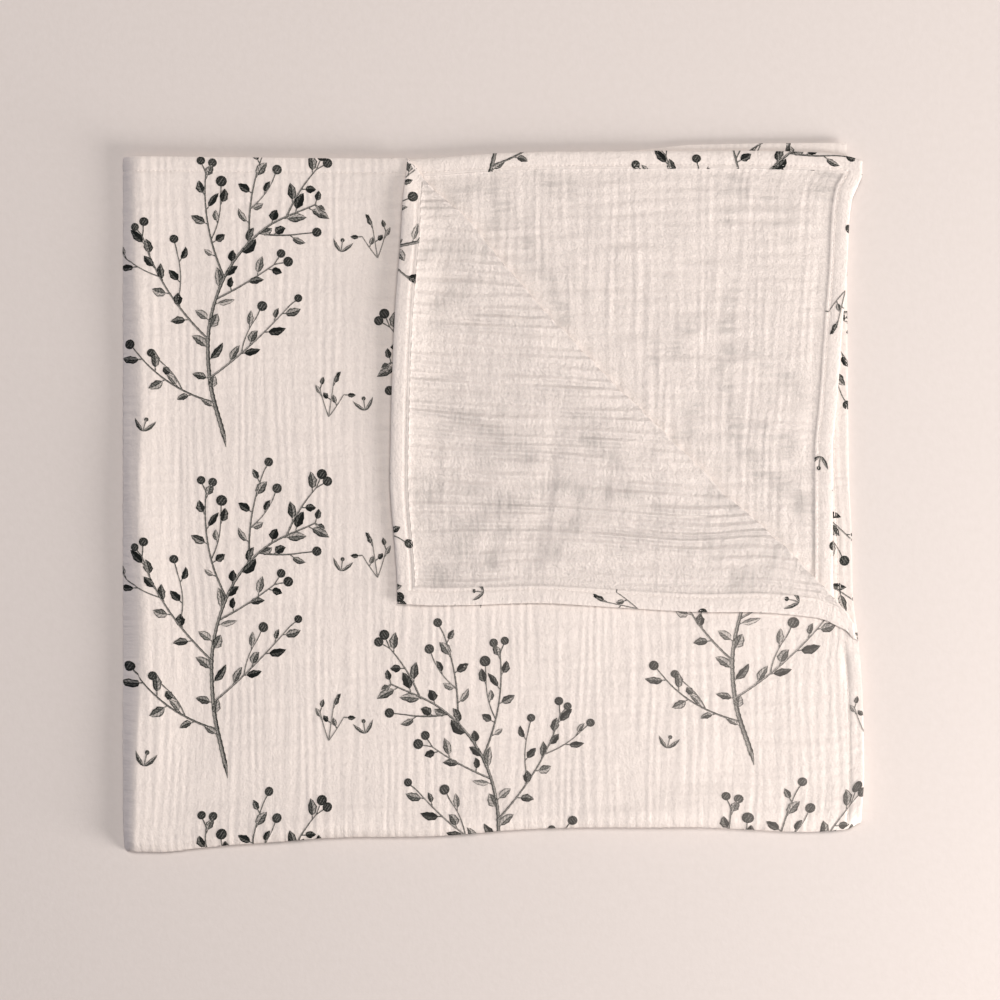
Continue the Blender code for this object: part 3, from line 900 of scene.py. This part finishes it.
def heading(path, at):
    """The point a share of the way along a path, and the path's direction there."""
    i = min(int(at * (len(path) - 1)), len(path) - 2)
    f = at * (len(path) - 1) - i
    run = path[i + 1] - path[i]
    return path[i] + f * run, math.atan2(run[1], run[0])


class Pencil:
    """Draws whole motifs, each about its own origin, into the inks of twigs, leaves and berries."""

    def __init__(self):
        self.twigs, self.leaves, self.berries = Ink(), Ink(), Ink()

    def stalk(self, path, tone, start=1.0, end=1.0):
        ribbon(self.twigs, path, STALK_WIDTH * start, STALK_WIDTH * end, tone)

    def leafed(self, path, draw, first, size):
        """Leaves on both sides of a twig in turn."""
        length = np.hypot(*np.diff(path, axis=0).T).sum()
        count = max(1, int(length * (1 - first) / LEAF_PITCH))
        for i in range(count):
            at = first + (1 - first) * (i + draw.uniform(0.3, 0.7)) / count
            self.stalked_leaf(*heading(path, at), 1 if i % 2 else -1, draw, size)

    def stalked_leaf(self, place, angle, side, draw, size):
        turn = angle + side * draw.uniform(0.45, 1.5)
        stalk = bent_path(place, turn, draw.uniform(2.0, 3.4) * MM, -side * 0.3, 3)
        self.stalk(stalk, draw.uniform(0.5, 0.9))
        length = LEAF_LENGTH * size * draw.uniform(0.66, 1.2)
        width = LEAF_WIDTH * size * draw.uniform(0.72, 1.15)
        bend = side * draw.uniform(-1.0, 0.6)
        leaf(self.leaves, stalk[-1], turn - side * 0.25, length, width, bend, draw.uniform(0.05, 1.0))

    def berry_bunch(self, place, angle, count, draw):
        """Berries at the end of a twig, each on its own short stalk."""
        for i in range(count):
            turn = angle + (i - (count - 1) / 2) * 0.85 + draw.uniform(-0.12, 0.12)
            reach = draw.uniform(6.5, 10.5) * MM
            stalk = bent_path(place, turn, reach, draw.uniform(-0.3, 0.3), 4)
            self.stalk(stalk, draw.uniform(0.6, 0.9))
            radius = BERRY_RADIUS * draw.uniform(0.74, 1.08)
            end = stalk[-1] + radius * 0.9 * direction_of(turn)
            berry(self.berries, end, radius, draw.uniform(0.55, 1.0))

    def spray(self, draw):
        """An arching stem with leafy shoots on both sides, each with berries at its tip."""
        stem = smooth_path(MAIN_STEM)
        ribbon(self.twigs, stem, STEM_WIDTH, SHOOT_WIDTH * 0.7, 0.62)
        foot = bent_path(stem[0], heading(stem, 0.0)[1] + math.pi, 11 * MM, 0.12, 5)
        ribbon(self.twigs, foot, STEM_WIDTH, 0.4 * MM, 0.62)
        self.leafed(stem, draw, 0.08, 1.05)
        place, angle = heading(stem, 1.0)
        for turn in (-0.5, 0.1, 0.7):
            self.stalked_leaf(place, angle + turn, 1 if turn > 0 else -1, draw, 0.72)
        for shoot in SHOOTS:
            place, angle = heading(stem, shoot.at)
            start = angle + math.radians(shoot.angle)
            path = bent_path(place, start, shoot.length * MM, -math.radians(shoot.bend))
            ribbon(self.twigs, path, SHOOT_WIDTH, STALK_WIDTH, draw.uniform(0.45, 0.85))
            self.leafed(path, draw, 0.16, 0.95)
            self.berry_bunch(*heading(path, 1.0), shoot.berries, draw)
            for i in range(shoot.twigs):
                place, angle = heading(path, 0.38 + 0.26 * i)
                side = -1 if (i % 2 == 0) == (shoot.angle > 0) else 1
                reach = shoot.length * draw.uniform(0.30, 0.42) * MM
                twig = bent_path(place, angle + side * draw.uniform(0.7, 0.95), reach, -side * 0.5)
                self.stalk(twig, draw.uniform(0.4, 0.8), 1.15, 0.8)
                self.leafed(twig, draw, 0.3, 0.82)
                self.berry_bunch(*heading(twig, 1.0), 1, draw)

    def sprig(self, draw):
        """Three short leafy twigs from one point."""
        for angle, length in ((1.1, 24.0), (1.62, 31.0), (2.15, 22.0)):
            path = bent_path((0.0, 0.0), angle, length * MM, 0.3 * (1.6 - angle), 8)
            self.stalk(path, 0.42, 1.0, 0.8)
            self.leafed(path, draw, 0.25, 0.62)
            self.stalked_leaf(*heading(path, 1.0), 1, draw, 0.6)

    def seedling(self, draw):
        """Two narrow leaves and a bud."""
        for angle, bend in ((0.75, 0.5), (2.35, -0.5)):
            leaf(self.leaves, (0.0, 0.0), angle, 13 * MM, 3.2 * MM, bend, draw.uniform(0.3, 0.6))
        path = bent_path((0.0, 0.0), 1.55, 10 * MM, 0.15, 5)
        self.stalk(path, 0.5)
        berry(self.berries, path[-1], 1.7 * MM, 0.6)


MOTIFS = table(
    "draw across up turn mirrored seed",
    (Pencil.spray, 0.0, 0.0, 0.10, False, 71),
    (Pencil.sprig, -86.0, 14.0, 0.1, False, 72),
    (Pencil.seedling, 62.0, 2.0, 0.2, False, 73),
    (Pencil.seedling, 96.0, 150.0, -0.2, True, 75),
)


def repeated_print():
    """The whole cloth's print, as inks for twigs, leaves and berries. Columns of the repeat drop by half in
    turn, and every other one is mirrored."""
    sheets = (Ink(), Ink(), Ink())
    for motif in MOTIFS:
        pencil = Pencil()
        motif.draw(pencil, np.random.default_rng(motif.seed))
        for column in REPEATS:
            flip = -1 if (column % 2 == 1) != motif.mirrored else 1
            across = REPEAT_START[0] + column * REPEAT_ACROSS + flip * motif.across * MM
            for row in REPEATS:
                up = REPEAT_START[1] + (row + 0.5 * (column % 2)) * REPEAT_UP + motif.up * MM
                for ink, sheet in zip((pencil.twigs, pencil.leaves, pencil.berries), sheets):
                    if ink.points:
                        ink.copy_to(sheet, (across, up), motif.turn, flip)
    for sheet in sheets:
        sheet.points = squeezed_at_fold(sheet.points)
    return sheets


def squeezed_at_fold(points):
    """Draws the print closer together where the cloth is stretched round the left fold, to look even."""
    s, v = np.array(points).T
    stretch = through(LEFT_STRETCH, on_pile(s, v)[1], unit=1.0)
    round_fold = math.pi / 2 * HALF_PILE * np.sqrt((stretch**2 + 1) / 2)
    surplus = (round_fold - ARC_LEFT) * np.clip(np.abs(s) / round_fold, 0.0, 1.0)
    return np.stack((s - np.sign(s) * surplus * bump(s / SQUEEZE_REACH), v), axis=1)


class InkMap:
    """How much ink there is round each place of the cloth, for what is seen through it."""

    CELL = 3.0 * MM
    BLUR = 4

    def __init__(self, inks):
        self.shape = [int(2 * half / self.CELL) + 3 for half in (HALF_ACROSS, HALF_UP)]
        total = np.zeros(self.shape)
        for ink in inks:
            faces = np.array(ink.faces)
            a, b, c = (ink.points[faces[:, i]] for i in range(3))
            area = np.abs(np.cross(b - a, c - a)) / 2
            cells = [np.round(i).astype(int) for i in self.cells(*((a + b + c) / 3).T)]
            np.add.at(total, tuple(cells), area * (0.4 + 0.6 * np.array(ink.tones)[faces[:, 0]]))
        for _ in range(self.BLUR):
            for axis in (0, 1):
                total = (np.roll(total, 1, axis) + 2 * total + np.roll(total, -1, axis)) / 4
        self.share = np.clip(total / self.CELL**2, 0.0, 1.0)

    def cells(self, s, v):
        i = np.clip((s + HALF_ACROSS) / self.CELL, 0, self.shape[0] - 1.001)
        j = np.clip((v + HALF_UP) / self.CELL, 0, self.shape[1] - 1.001)
        return i, j

    def seen_through(self, places):
        i, j = self.cells(*places)
        a, b = i.astype(int), j.astype(int)
        fa, fb = i - a, j - b
        low, high = (self.share[a, c] * (1 - fa) + self.share[a + 1, c] * fa for c in (b, b + 1))
        return low * (1 - fb) + high * fb


def cut_across(mesh, axis, places):
    """Cuts a flat mesh along lines that cross one of its axes at the given places."""
    normal = np.eye(2)[axis]
    low, high = min(places) - CUT_REACH, max(places) + CUT_REACH
    near = [f for f in mesh.faces if low < f.calc_center_median()[axis] < high]
    cut_along(mesh, near, [place * normal for place in places], normal)


def turned_in(place, half):
    """Where a place past the cloth's edge comes when the hem is turned in."""
    return np.where(np.abs(place) > half, np.sign(place) * (2 * half - np.abs(place)), place)


def printed_piece(name, ink, material, middle):
    """Lays an ink's marks on the cloth. Those past its edge are on the turned hem, on the other side."""
    carried = [(*mark, tone) for mark, tone in zip(ink.marks, ink.tones)]
    mesh, layers = flat_mesh(ink.points, carried, ink.faces)
    for axis, half, arc in ((0, HALF_ACROSS, ARC_LEFT), (1, HALF_UP, ARC_BOTTOM)):
        cut_across(mesh, axis, np.linspace(arc, -arc, FOLD_CELLS + 1))
        for side in (-1, 1):
            cut_across(mesh, axis, (side * half, side * (half + INKED_HEM)))
    places, values, faces, _ = read_mesh(mesh, layers)
    faces = np.array(faces)

    past = np.abs(places[faces].mean(axis=1)) - (HALF_ACROSS, HALF_UP)
    on_print = (past < 0).all(axis=1)
    on_hem = ((past > 0).sum(axis=1) == 1) & (past < INKED_HEM).all(axis=1)
    parts, count = [], 0
    for chosen, reverse in ((on_print, False), (on_hem, True)):
        used, renumbered = np.unique(faces[chosen], return_inverse=True)
        s, v = places[used].T
        if reverse:
            s, v = turned_in(s, HALF_ACROSS), turned_in(v, HALF_UP)
        printed, wrong = face_heights(s, v)
        lift = np.where(s > 0, INK_LIFT, INK_LIFT_BELOW)
        points = folded(s, v, wrong - lift if reverse else printed + lift) - middle
        # the print is painted paler towards the low light at the right: painted sheen, not worn ink
        painted_sheen = through(PRINT_PAINTED_SHEEN, s, unit=1.0) * (not reverse)
        parts.append((points, renumbered.reshape(-1, 3) + count, places[used], values[used], painted_sheen))
        count += len(used)
    points, faces, places, values, painted_sheen = (np.concatenate(part) for part in zip(*parts))
    piece = new_object(name, points, faces.tolist(), material)
    add_uv(piece, "cloth", places)
    add_uv(piece, "mark", values[:, :2])
    add_value(piece, "tone", values[:, 2])
    add_value(piece, "painted_sheen", painted_sheen)
    return piece


def stitch_places():
    """Starts and directions of the stitches on the flat cloth, along all four hems."""
    across, up = HALF_ACROSS - STITCH_IN, HALF_UP - STITCH_IN
    corners = np.array(((-across, -up), (across, -up), (across, up), (-across, up)))
    for start, end in zip(corners, np.roll(corners, -1, axis=0)):
        length = np.hypot(*(end - start))
        direction = (end - start) / length
        count = int(length / STITCH_PITCH)
        for i in range(count):
            yield start + direction * (i + 0.2) * length / count, direction


def hem_stitches(material, middle):
    """Short threads along the hems, on both faces of the cloth. A stitch arches out of the cloth and back."""
    rng = np.random.default_rng(17)
    places, heights, faces = [], [], []
    body = (STITCH_SECTIONS - 1) * THREAD_SIDES
    for side in (1, -1):
        for start, direction in stitch_places():
            across = np.array((-direction[1], direction[0]))
            first = len(places)
            skew = rng.uniform(-1, 1) * STITCH_SKEW
            for t in np.linspace(0, 1, STITCH_SECTIONS):
                centre = start + direction * STITCH_LENGTH * t + across * skew * (2 * t - 1)
                rise = side * THREAD * (STITCH_ARCH * math.sin(math.pi * t) - STITCH_SUNK)
                rise += face_heights(*centre)[0 if side > 0 else 1]
                for turn in 2 * math.pi * np.arange(THREAD_SIDES) / THREAD_SIDES:
                    places.append(centre + across * THREAD / 2 * math.cos(turn))
                    heights.append(rise + THREAD / 2 * math.sin(turn))
            for i in range(body):
                a = first + i
                b = a + 1 if (i + 1) % THREAD_SIDES else a + 1 - THREAD_SIDES
                faces.append((a, b, b + THREAD_SIDES, a + THREAD_SIDES))
            ring = range(first, first + THREAD_SIDES)
            faces += [tuple(reversed(ring)), tuple(i + body for i in ring)]
    places = np.array(places)
    points = folded(*places.T, np.array(heights)) - middle
    piece = new_object("hem_stitches", points, faces, material)
    add_uv(piece, "cloth", places)
    return piece


class Nodes:
    """Shorthand for building a material's nodes."""

    def __init__(self, name):
        self.material = bpy.data.materials.new(name)
        self.material.use_nodes = True
        self.tree = self.material.node_tree
        self.shader = self.tree.nodes["Principled BSDF"]

    def add(self, kind, inputs=(), **settings):
        node = self.tree.nodes.new(kind)
        for name, value in settings.items():
            setattr(node, name, value)
        for name, value in dict(inputs).items():
            self.connect(value, node.inputs[name])
        return node

    def connect(self, value, socket):
        if isinstance(value, bpy.types.NodeSocket):
            self.tree.links.new(value, socket)
        else:
            socket.default_value = value

    def math(self, operation, *values, clamp=False):
        return self.add("ShaderNodeMath", enumerate(values), operation=operation, use_clamp=clamp).outputs[0]

    times = partialmethod(math, "MULTIPLY")
    plus = partialmethod(math, "ADD")
    times_plus = partialmethod(math, "MULTIPLY_ADD")

    def marked(self, value, *marks, clamp=False):
        """A value with marks added to it, each by its share."""
        for mark, share in marks:
            value = self.plus(value, self.times(mark, share), clamp=clamp)
        return value

    def step(self, value, low, high, to_low=0.0, to_high=1.0):
        """A soft step of a value from one range to another."""
        inputs = enumerate((value, low, high, to_low, to_high))
        return self.add("ShaderNodeMapRange", inputs, interpolation_type="SMOOTHSTEP").outputs[0]

    def mix(self, share, first, second):
        return self.add("ShaderNodeMix", {0: share, 6: first, 7: second}, data_type="RGBA").outputs[2]

    def uv(self, name, scale=(1, 1, 1)):
        place = self.add("ShaderNodeUVMap", uv_map=name).outputs[0]
        return self.add("ShaderNodeVectorMath", {0: place, 1: scale}, operation="MULTIPLY").outputs[0]

    def cloth(self, across, up, deep=1):
        """Places on the cloth, in steps of so many mm across and up it."""
        return self.uv("cloth", (1000 / across, 1000 / up, deep))

    def noise(self, vector, detail=2.0, roughness=0.5, scale=1.0):
        inputs = {"Vector": vector, "Scale": scale, "Detail": detail, "Roughness": roughness}
        return self.add("ShaderNodeTexNoise", inputs).outputs[0]

    def attribute(self, name):
        return self.add("ShaderNodeAttribute", attribute_name=name).outputs["Fac"]

    def bumps(self, height, distance, strength=1.0):
        inputs = {"Strength": strength, "Distance": distance, "Height": height}
        return self.add("ShaderNodeBump", inputs).outputs["Normal"]

    def finished(self, colour, normal, roughness=0.92, sheen=0.10, shine=0.25):
        for name, value in {
            "Base Color": colour,
            "Normal": normal,
            "Roughness": roughness,
            "Specular IOR Level": shine,
            "Sheen Weight": sheen,
            "Sheen Roughness": 0.6,
        }.items():
            self.connect(value, self.shader.inputs[name])
        return self.material


def bands(nodes, place, direction, wavy=0.0):
    """Even waves, which wander by the given amount."""
    inputs = {"Vector": place, "Scale": 0.5, "Distortion": wavy, "Detail": 1.0, "Detail Scale": 0.8}
    return nodes.add("ShaderNodeTexWave", inputs, bands_direction=direction).outputs["Fac"]


def pleats(nodes, across, up, direction, patches):
    """Nearly even waves that wander and come and go over the cloth, in so many patches a metre each way."""
    strength = nodes.step(nodes.noise(nodes.uv("cloth", (*patches, 1))), 0.34, 0.62, 0.40, 1.0)
    return nodes.times(bands(nodes, nodes.cloth(across, up, 0), direction, PLEAT_WANDER), strength)


def crests(nodes, across, up):
    """Long thin lines that wander a little: 1 along them and 0 between."""
    wander = nodes.times(nodes.noise(nodes.uv("cloth", (25, 17, 1))), 1.2)
    shift = nodes.add("ShaderNodeCombineXYZ", {"X": wander}).outputs[0]
    place = nodes.add("ShaderNodeVectorMath", {0: nodes.cloth(across, up), 1: shift}, operation="ADD")
    swing = nodes.math("SUBTRACT", nodes.noise(place.outputs[0], detail=1.0), 0.5)
    return nodes.step(nodes.math("ABSOLUTE", swing), 0.0, 0.11, 1.0, 0.0)


def gauze(nodes):
    """The gauze's colour and its bumps: even pleats and thin crests up the cloth and across it, short
    ripples, puffs, grain and its weave. Each has its own strength on the print, on the wrong side of the
    inner layer, on that of the turned corner, and in a hem. Its colour has a random mottle and specks,
    and painted shade in the crest lines up the cloth and along the crease's outermost line."""
    reverse = nodes.attribute("reverse")
    hem = nodes.attribute("hem")
    turned = nodes.step(reverse, 1.0, TURNED_MARK)
    wrong = nodes.math("SUBTRACT", nodes.step(reverse, 0.0, 1.0), turned)
    crests_up = crests(nodes, 8.0, 90)
    crests_across = crests(nodes, 60, 9.5)
    pleats_up = pleats(nodes, 13.0, 90, "X", (22, 14))
    pleats_across = pleats(nodes, 90, 15.5, "Y", (14, 22))
    ripple = nodes.noise(nodes.cloth(34, 4.6))
    puff = nodes.noise(nodes.cloth(4.2, 4.2), detail=3.0)
    pucker = nodes.noise(nodes.cloth(1.6, 1.9), detail=1.0)
    warp_threads = bands(nodes, nodes.cloth(0.72, math.inf, 0), "X")
    weft_threads = bands(nodes, nodes.cloth(math.inf, 0.78, 0), "Y")
    weave = nodes.math("MAXIMUM", warp_threads, weft_threads)

    height = 0.0
    for waves, on_print, on_wrong, on_turned, in_hem in (
        (crests_up, -0.06, 0.05, 0.07, 0.0),
        (crests_across, -0.05, 0.04, 0.02, 0.0),
        (pleats_up, 0.24, 0.28, 1.50, 0.08),
        (pleats_across, 0.26, 0.38, 0.10, 0.12),
        (ripple, 0.22, 0.54, 0.26, 0.30),
        (puff, 0.50, 0.84, 1.05, 0.60),
        (pucker, 0.22, 0.40, 0.60, 0.40),
        (weave, 0.05, 0.09, 0.10, 0.06),
    ):
        share = on_print
        for where, strength in ((wrong, on_wrong), (turned, on_turned), (hem, in_hem)):
            share = nodes.times_plus(where, strength - on_print, share)
        height = nodes.plus(nodes.times(waves, share), height)

    mottle = nodes.step(nodes.noise(nodes.cloth(5.0, 3.6), detail=3.0, roughness=0.6), 0.38, 0.70)
    broad = nodes.step(nodes.noise(nodes.cloth(30, 42)), 0.40, 0.62, 0.4, 1.5)
    specks = nodes.step(nodes.noise(nodes.cloth(1.6, 1.3), roughness=0.6), 0.34, 0.66)
    deep = nodes.marked(
        # painted shade in the crest lines up the cloth, which are grooves on the printed side
        nodes.times(crests_up, nodes.times_plus(reverse, -0.12, 0.14)),
        (nodes.times(mottle, broad), nodes.times_plus(reverse, 0.15, 0.20)),
        (specks, nodes.times_plus(nodes.step(reverse, 0.0, 1.0), 0.46, 0.22)),
        # painted shade along the crease's outermost line, toning down its lit bend
        (nodes.attribute("crease"), 0.6),
        clamp=True,
    )
    return nodes.mix(deep, CLOTH_COLOUR, CLOTH_DEEP), nodes.bumps(height, 1.0 * MM), ripple


def gauze_material():
    """Bare gauze, with the print on its far side faintly seen through it."""
    nodes = Nodes("crinkled_gauze")
    colour, normal, ripple = gauze(nodes)
    patchy = nodes.step(ripple, 0.40, 0.62, 0.30, 1.0)
    ghost = nodes.times(nodes.times(nodes.step(nodes.attribute("ghost"), 0.02, 0.45), patchy), 0.60)
    return nodes.finished(nodes.mix(ghost, colour, GHOST_COLOUR), normal)


def inked_material(name, darkness):
    """Gauze with ink on it, as dark as the given function says from the nodes, the places along and across a
    mark, and the mark's own tone."""
    nodes = Nodes(name)
    colour, normal, _ = gauze(nodes)
    mark = nodes.add("ShaderNodeSeparateXYZ", {"Vector": nodes.uv("mark")}).outputs
    dark = darkness(nodes, mark["X"], mark["Y"], nodes.attribute("tone"))
    ink = nodes.mix(nodes.step(dark, 0.35, 1.0), INK_PALE, INK_COLOUR)
    # the ink is thinned by the painted sheen towards the low light
    left = nodes.math("SUBTRACT", nodes.step(dark, 0.0, 0.5, 0.35, 1.0), nodes.attribute("painted_sheen"))
    return nodes.finished(nodes.mix(left, colour, ink), normal, sheen=0.0, shine=0.05)


def grained(nodes, dark, *step):
    """A darkness with pencil grain, which is finer along its strokes than across them."""
    grain = nodes.noise(nodes.uv("cloth", (900, 1500, 1)), roughness=0.7)
    return nodes.plus(dark, nodes.step(grain, *step), clamp=True)


def leaf_darkness(nodes, along, across, tone):
    """A drawn leaf: dark outline and midrib, one half darker, side veins, and hatching with light patches."""
    away = nodes.math("ABSOLUTE", across)
    slant = nodes.math("SUBTRACT", nodes.times(along, 30.0), nodes.times(away, 7.0))
    dark = nodes.marked(
        nodes.times_plus(tone, 0.84, 0.06),
        (nodes.step(away, 0.60, 0.88), 0.42),
        (nodes.step(away, 0.04, 0.20, 1.0, 0.0), 0.32),
        (nodes.step(across, -0.25, 0.15), 0.34),
        (nodes.step(nodes.math("SINE", slant), 0.3, 0.9), 0.20),
    )
    return grained(nodes, dark, 0.38, 0.66, -0.26, 0.12)


def twig_darkness(nodes, _, across, tone):
    """A drawn twig, darker at its edges and on one side, and lighter in places."""
    edge = nodes.step(nodes.math("ABSOLUTE", across), 0.35, 0.85)
    shaded = nodes.step(across, -0.2, 0.6)
    dark = nodes.marked(nodes.times_plus(tone, 0.46, 0.10), (edge, 0.26), (shaded, 0.36))
    return grained(nodes, dark, 0.36, 0.68, -0.20, 0.12)


def berry_darkness(nodes, along, across, tone):
    """A drawn berry: dark, with a few thin lighter strokes across it."""
    slant = nodes.times_plus(along, 11.0, nodes.times(across, 6.0))
    inner = nodes.plus(nodes.times(along, along), nodes.times(across, across))
    stroke = nodes.step(nodes.math("SINE", slant), 0.30, 1.0)
    stroke = nodes.times(stroke, nodes.step(inner, 0.15, 0.65, 1.0, 0.0))
    dark = nodes.marked(nodes.times_plus(tone, 0.30, 0.78), (stroke, -0.34))
    return grained(nodes, dark, 0.36, 0.66, -0.34, 0.08)


def thread_material():
    """Cotton thread, with its twist as a fine bump."""
    nodes = Nodes("cotton_thread")
    twist = nodes.add("ShaderNodeTexWave", {"Vector": nodes.uv("cloth", (1500, 1500, 0)), "Scale": 0.5})
    fleck = nodes.noise(nodes.cloth(2.5, 2.5))
    normal = nodes.bumps(twist.outputs["Fac"], 0.1 * MM, 0.4)
    return nodes.finished(nodes.mix(fleck, THREAD_COLOUR, CLOTH_COLOUR), normal)


def floor_material():
    """A plain pale floor with a faint mottle."""
    nodes = Nodes("pale_floor")
    place = nodes.add("ShaderNodeTexCoord").outputs["Object"]
    broad = nodes.noise(place, detail=3.0, scale=3.0)
    fine = nodes.noise(place, detail=3.0, scale=320.0)
    specks = nodes.noise(place, detail=1.0, scale=170.0)
    share = nodes.times_plus(specks, 2.4, nodes.times_plus(broad, 0.6, -1.0))
    colour = nodes.mix(share, FLOOR_COLOUR, FLOOR_DEEP)
    return nodes.finished(colour, nodes.bumps(fine, 0.3 * MM, 0.3), roughness=0.85, sheen=0.0, shine=0.2)


def floor():
    points = [(a * FLOOR_HALF, b * FLOOR_HALF, 0) for a, b in ((-1, -1), (1, -1), (1, 1), (-1, 1))]
    new_object("floor", points, [(0, 1, 2, 3)], floor_material())


def camera():
    """Looks straight down on the blanket, with its top edge up."""
    data = bpy.data.cameras.new("camera")
    data.lens = LENS
    data.sensor_width = SENSOR
    data.clip_end = 20.0
    bpy.context.scene.camera = placed("camera", data, CAMERA_PLACE)


def area_light(name, place, size, power, colour):
    """A round light that shines at the blanket's middle."""
    data = bpy.data.lights.new(name, "AREA")
    data.shape = "DISK"
    data.size = size
    data.energy = power
    data.color = colour
    x, y, z = place
    tilt, turn = math.atan2(math.hypot(x, y), z), math.atan2(-y, -x) - math.pi / 2
    placed(name, data, place).rotation_euler = (tilt, 0.0, turn)


def lights():
    """A low light from the lower right, a broad one overhead, and weak fills from the left and all round."""
    area_light("low", (2.05, -0.95, 0.66), 1.2, 84.0, KEY_COLOUR)
    area_light("overhead", (0.35, 1.5, 3.9), 2.0, 132.0, KEY_COLOUR)
    area_light("left", (-2.2, -0.1, 0.35), 1.0, 5.2, LEFT_COLOUR)
    world = bpy.data.worlds.new("fill")
    bpy.context.scene.world = world
    world.use_nodes = True
    background = world.node_tree.nodes["Background"]
    background.inputs["Color"].default_value = SKY_COLOUR
    background.inputs["Strength"].default_value = 0.10


def dress(piece):
    """What every piece of the blanket has in common: it rides on the one body, and the imported blanket part
    is hidden.
    """
    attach(piece, "root")
    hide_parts(NODE)


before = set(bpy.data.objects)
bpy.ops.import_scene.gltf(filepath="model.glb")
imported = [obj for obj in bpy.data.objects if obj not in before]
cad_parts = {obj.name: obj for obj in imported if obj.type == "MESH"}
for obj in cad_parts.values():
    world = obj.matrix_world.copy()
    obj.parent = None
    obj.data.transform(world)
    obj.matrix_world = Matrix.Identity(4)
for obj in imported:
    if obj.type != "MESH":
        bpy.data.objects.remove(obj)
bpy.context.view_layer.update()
bpy.context.scene.view_settings.view_transform = "Standard"

twigs, leaves, berries = repeated_print()
sheet, sheet_middle = gauze_sheet(gauze_material(), InkMap((twigs, leaves, berries)))
pieces_on_it = [
    printed_piece("printed_twigs", twigs, inked_material("twig_ink", twig_darkness), sheet_middle),
    printed_piece("printed_leaves", leaves, inked_material("leaf_ink", leaf_darkness), sheet_middle),
    printed_piece("printed_berries", berries, inked_material("berry_ink", berry_darkness), sheet_middle),
    hem_stitches(thread_material(), sheet_middle),
]
for piece in (sheet, *pieces_on_it):
    dress(piece)

floor()
camera()
lights()
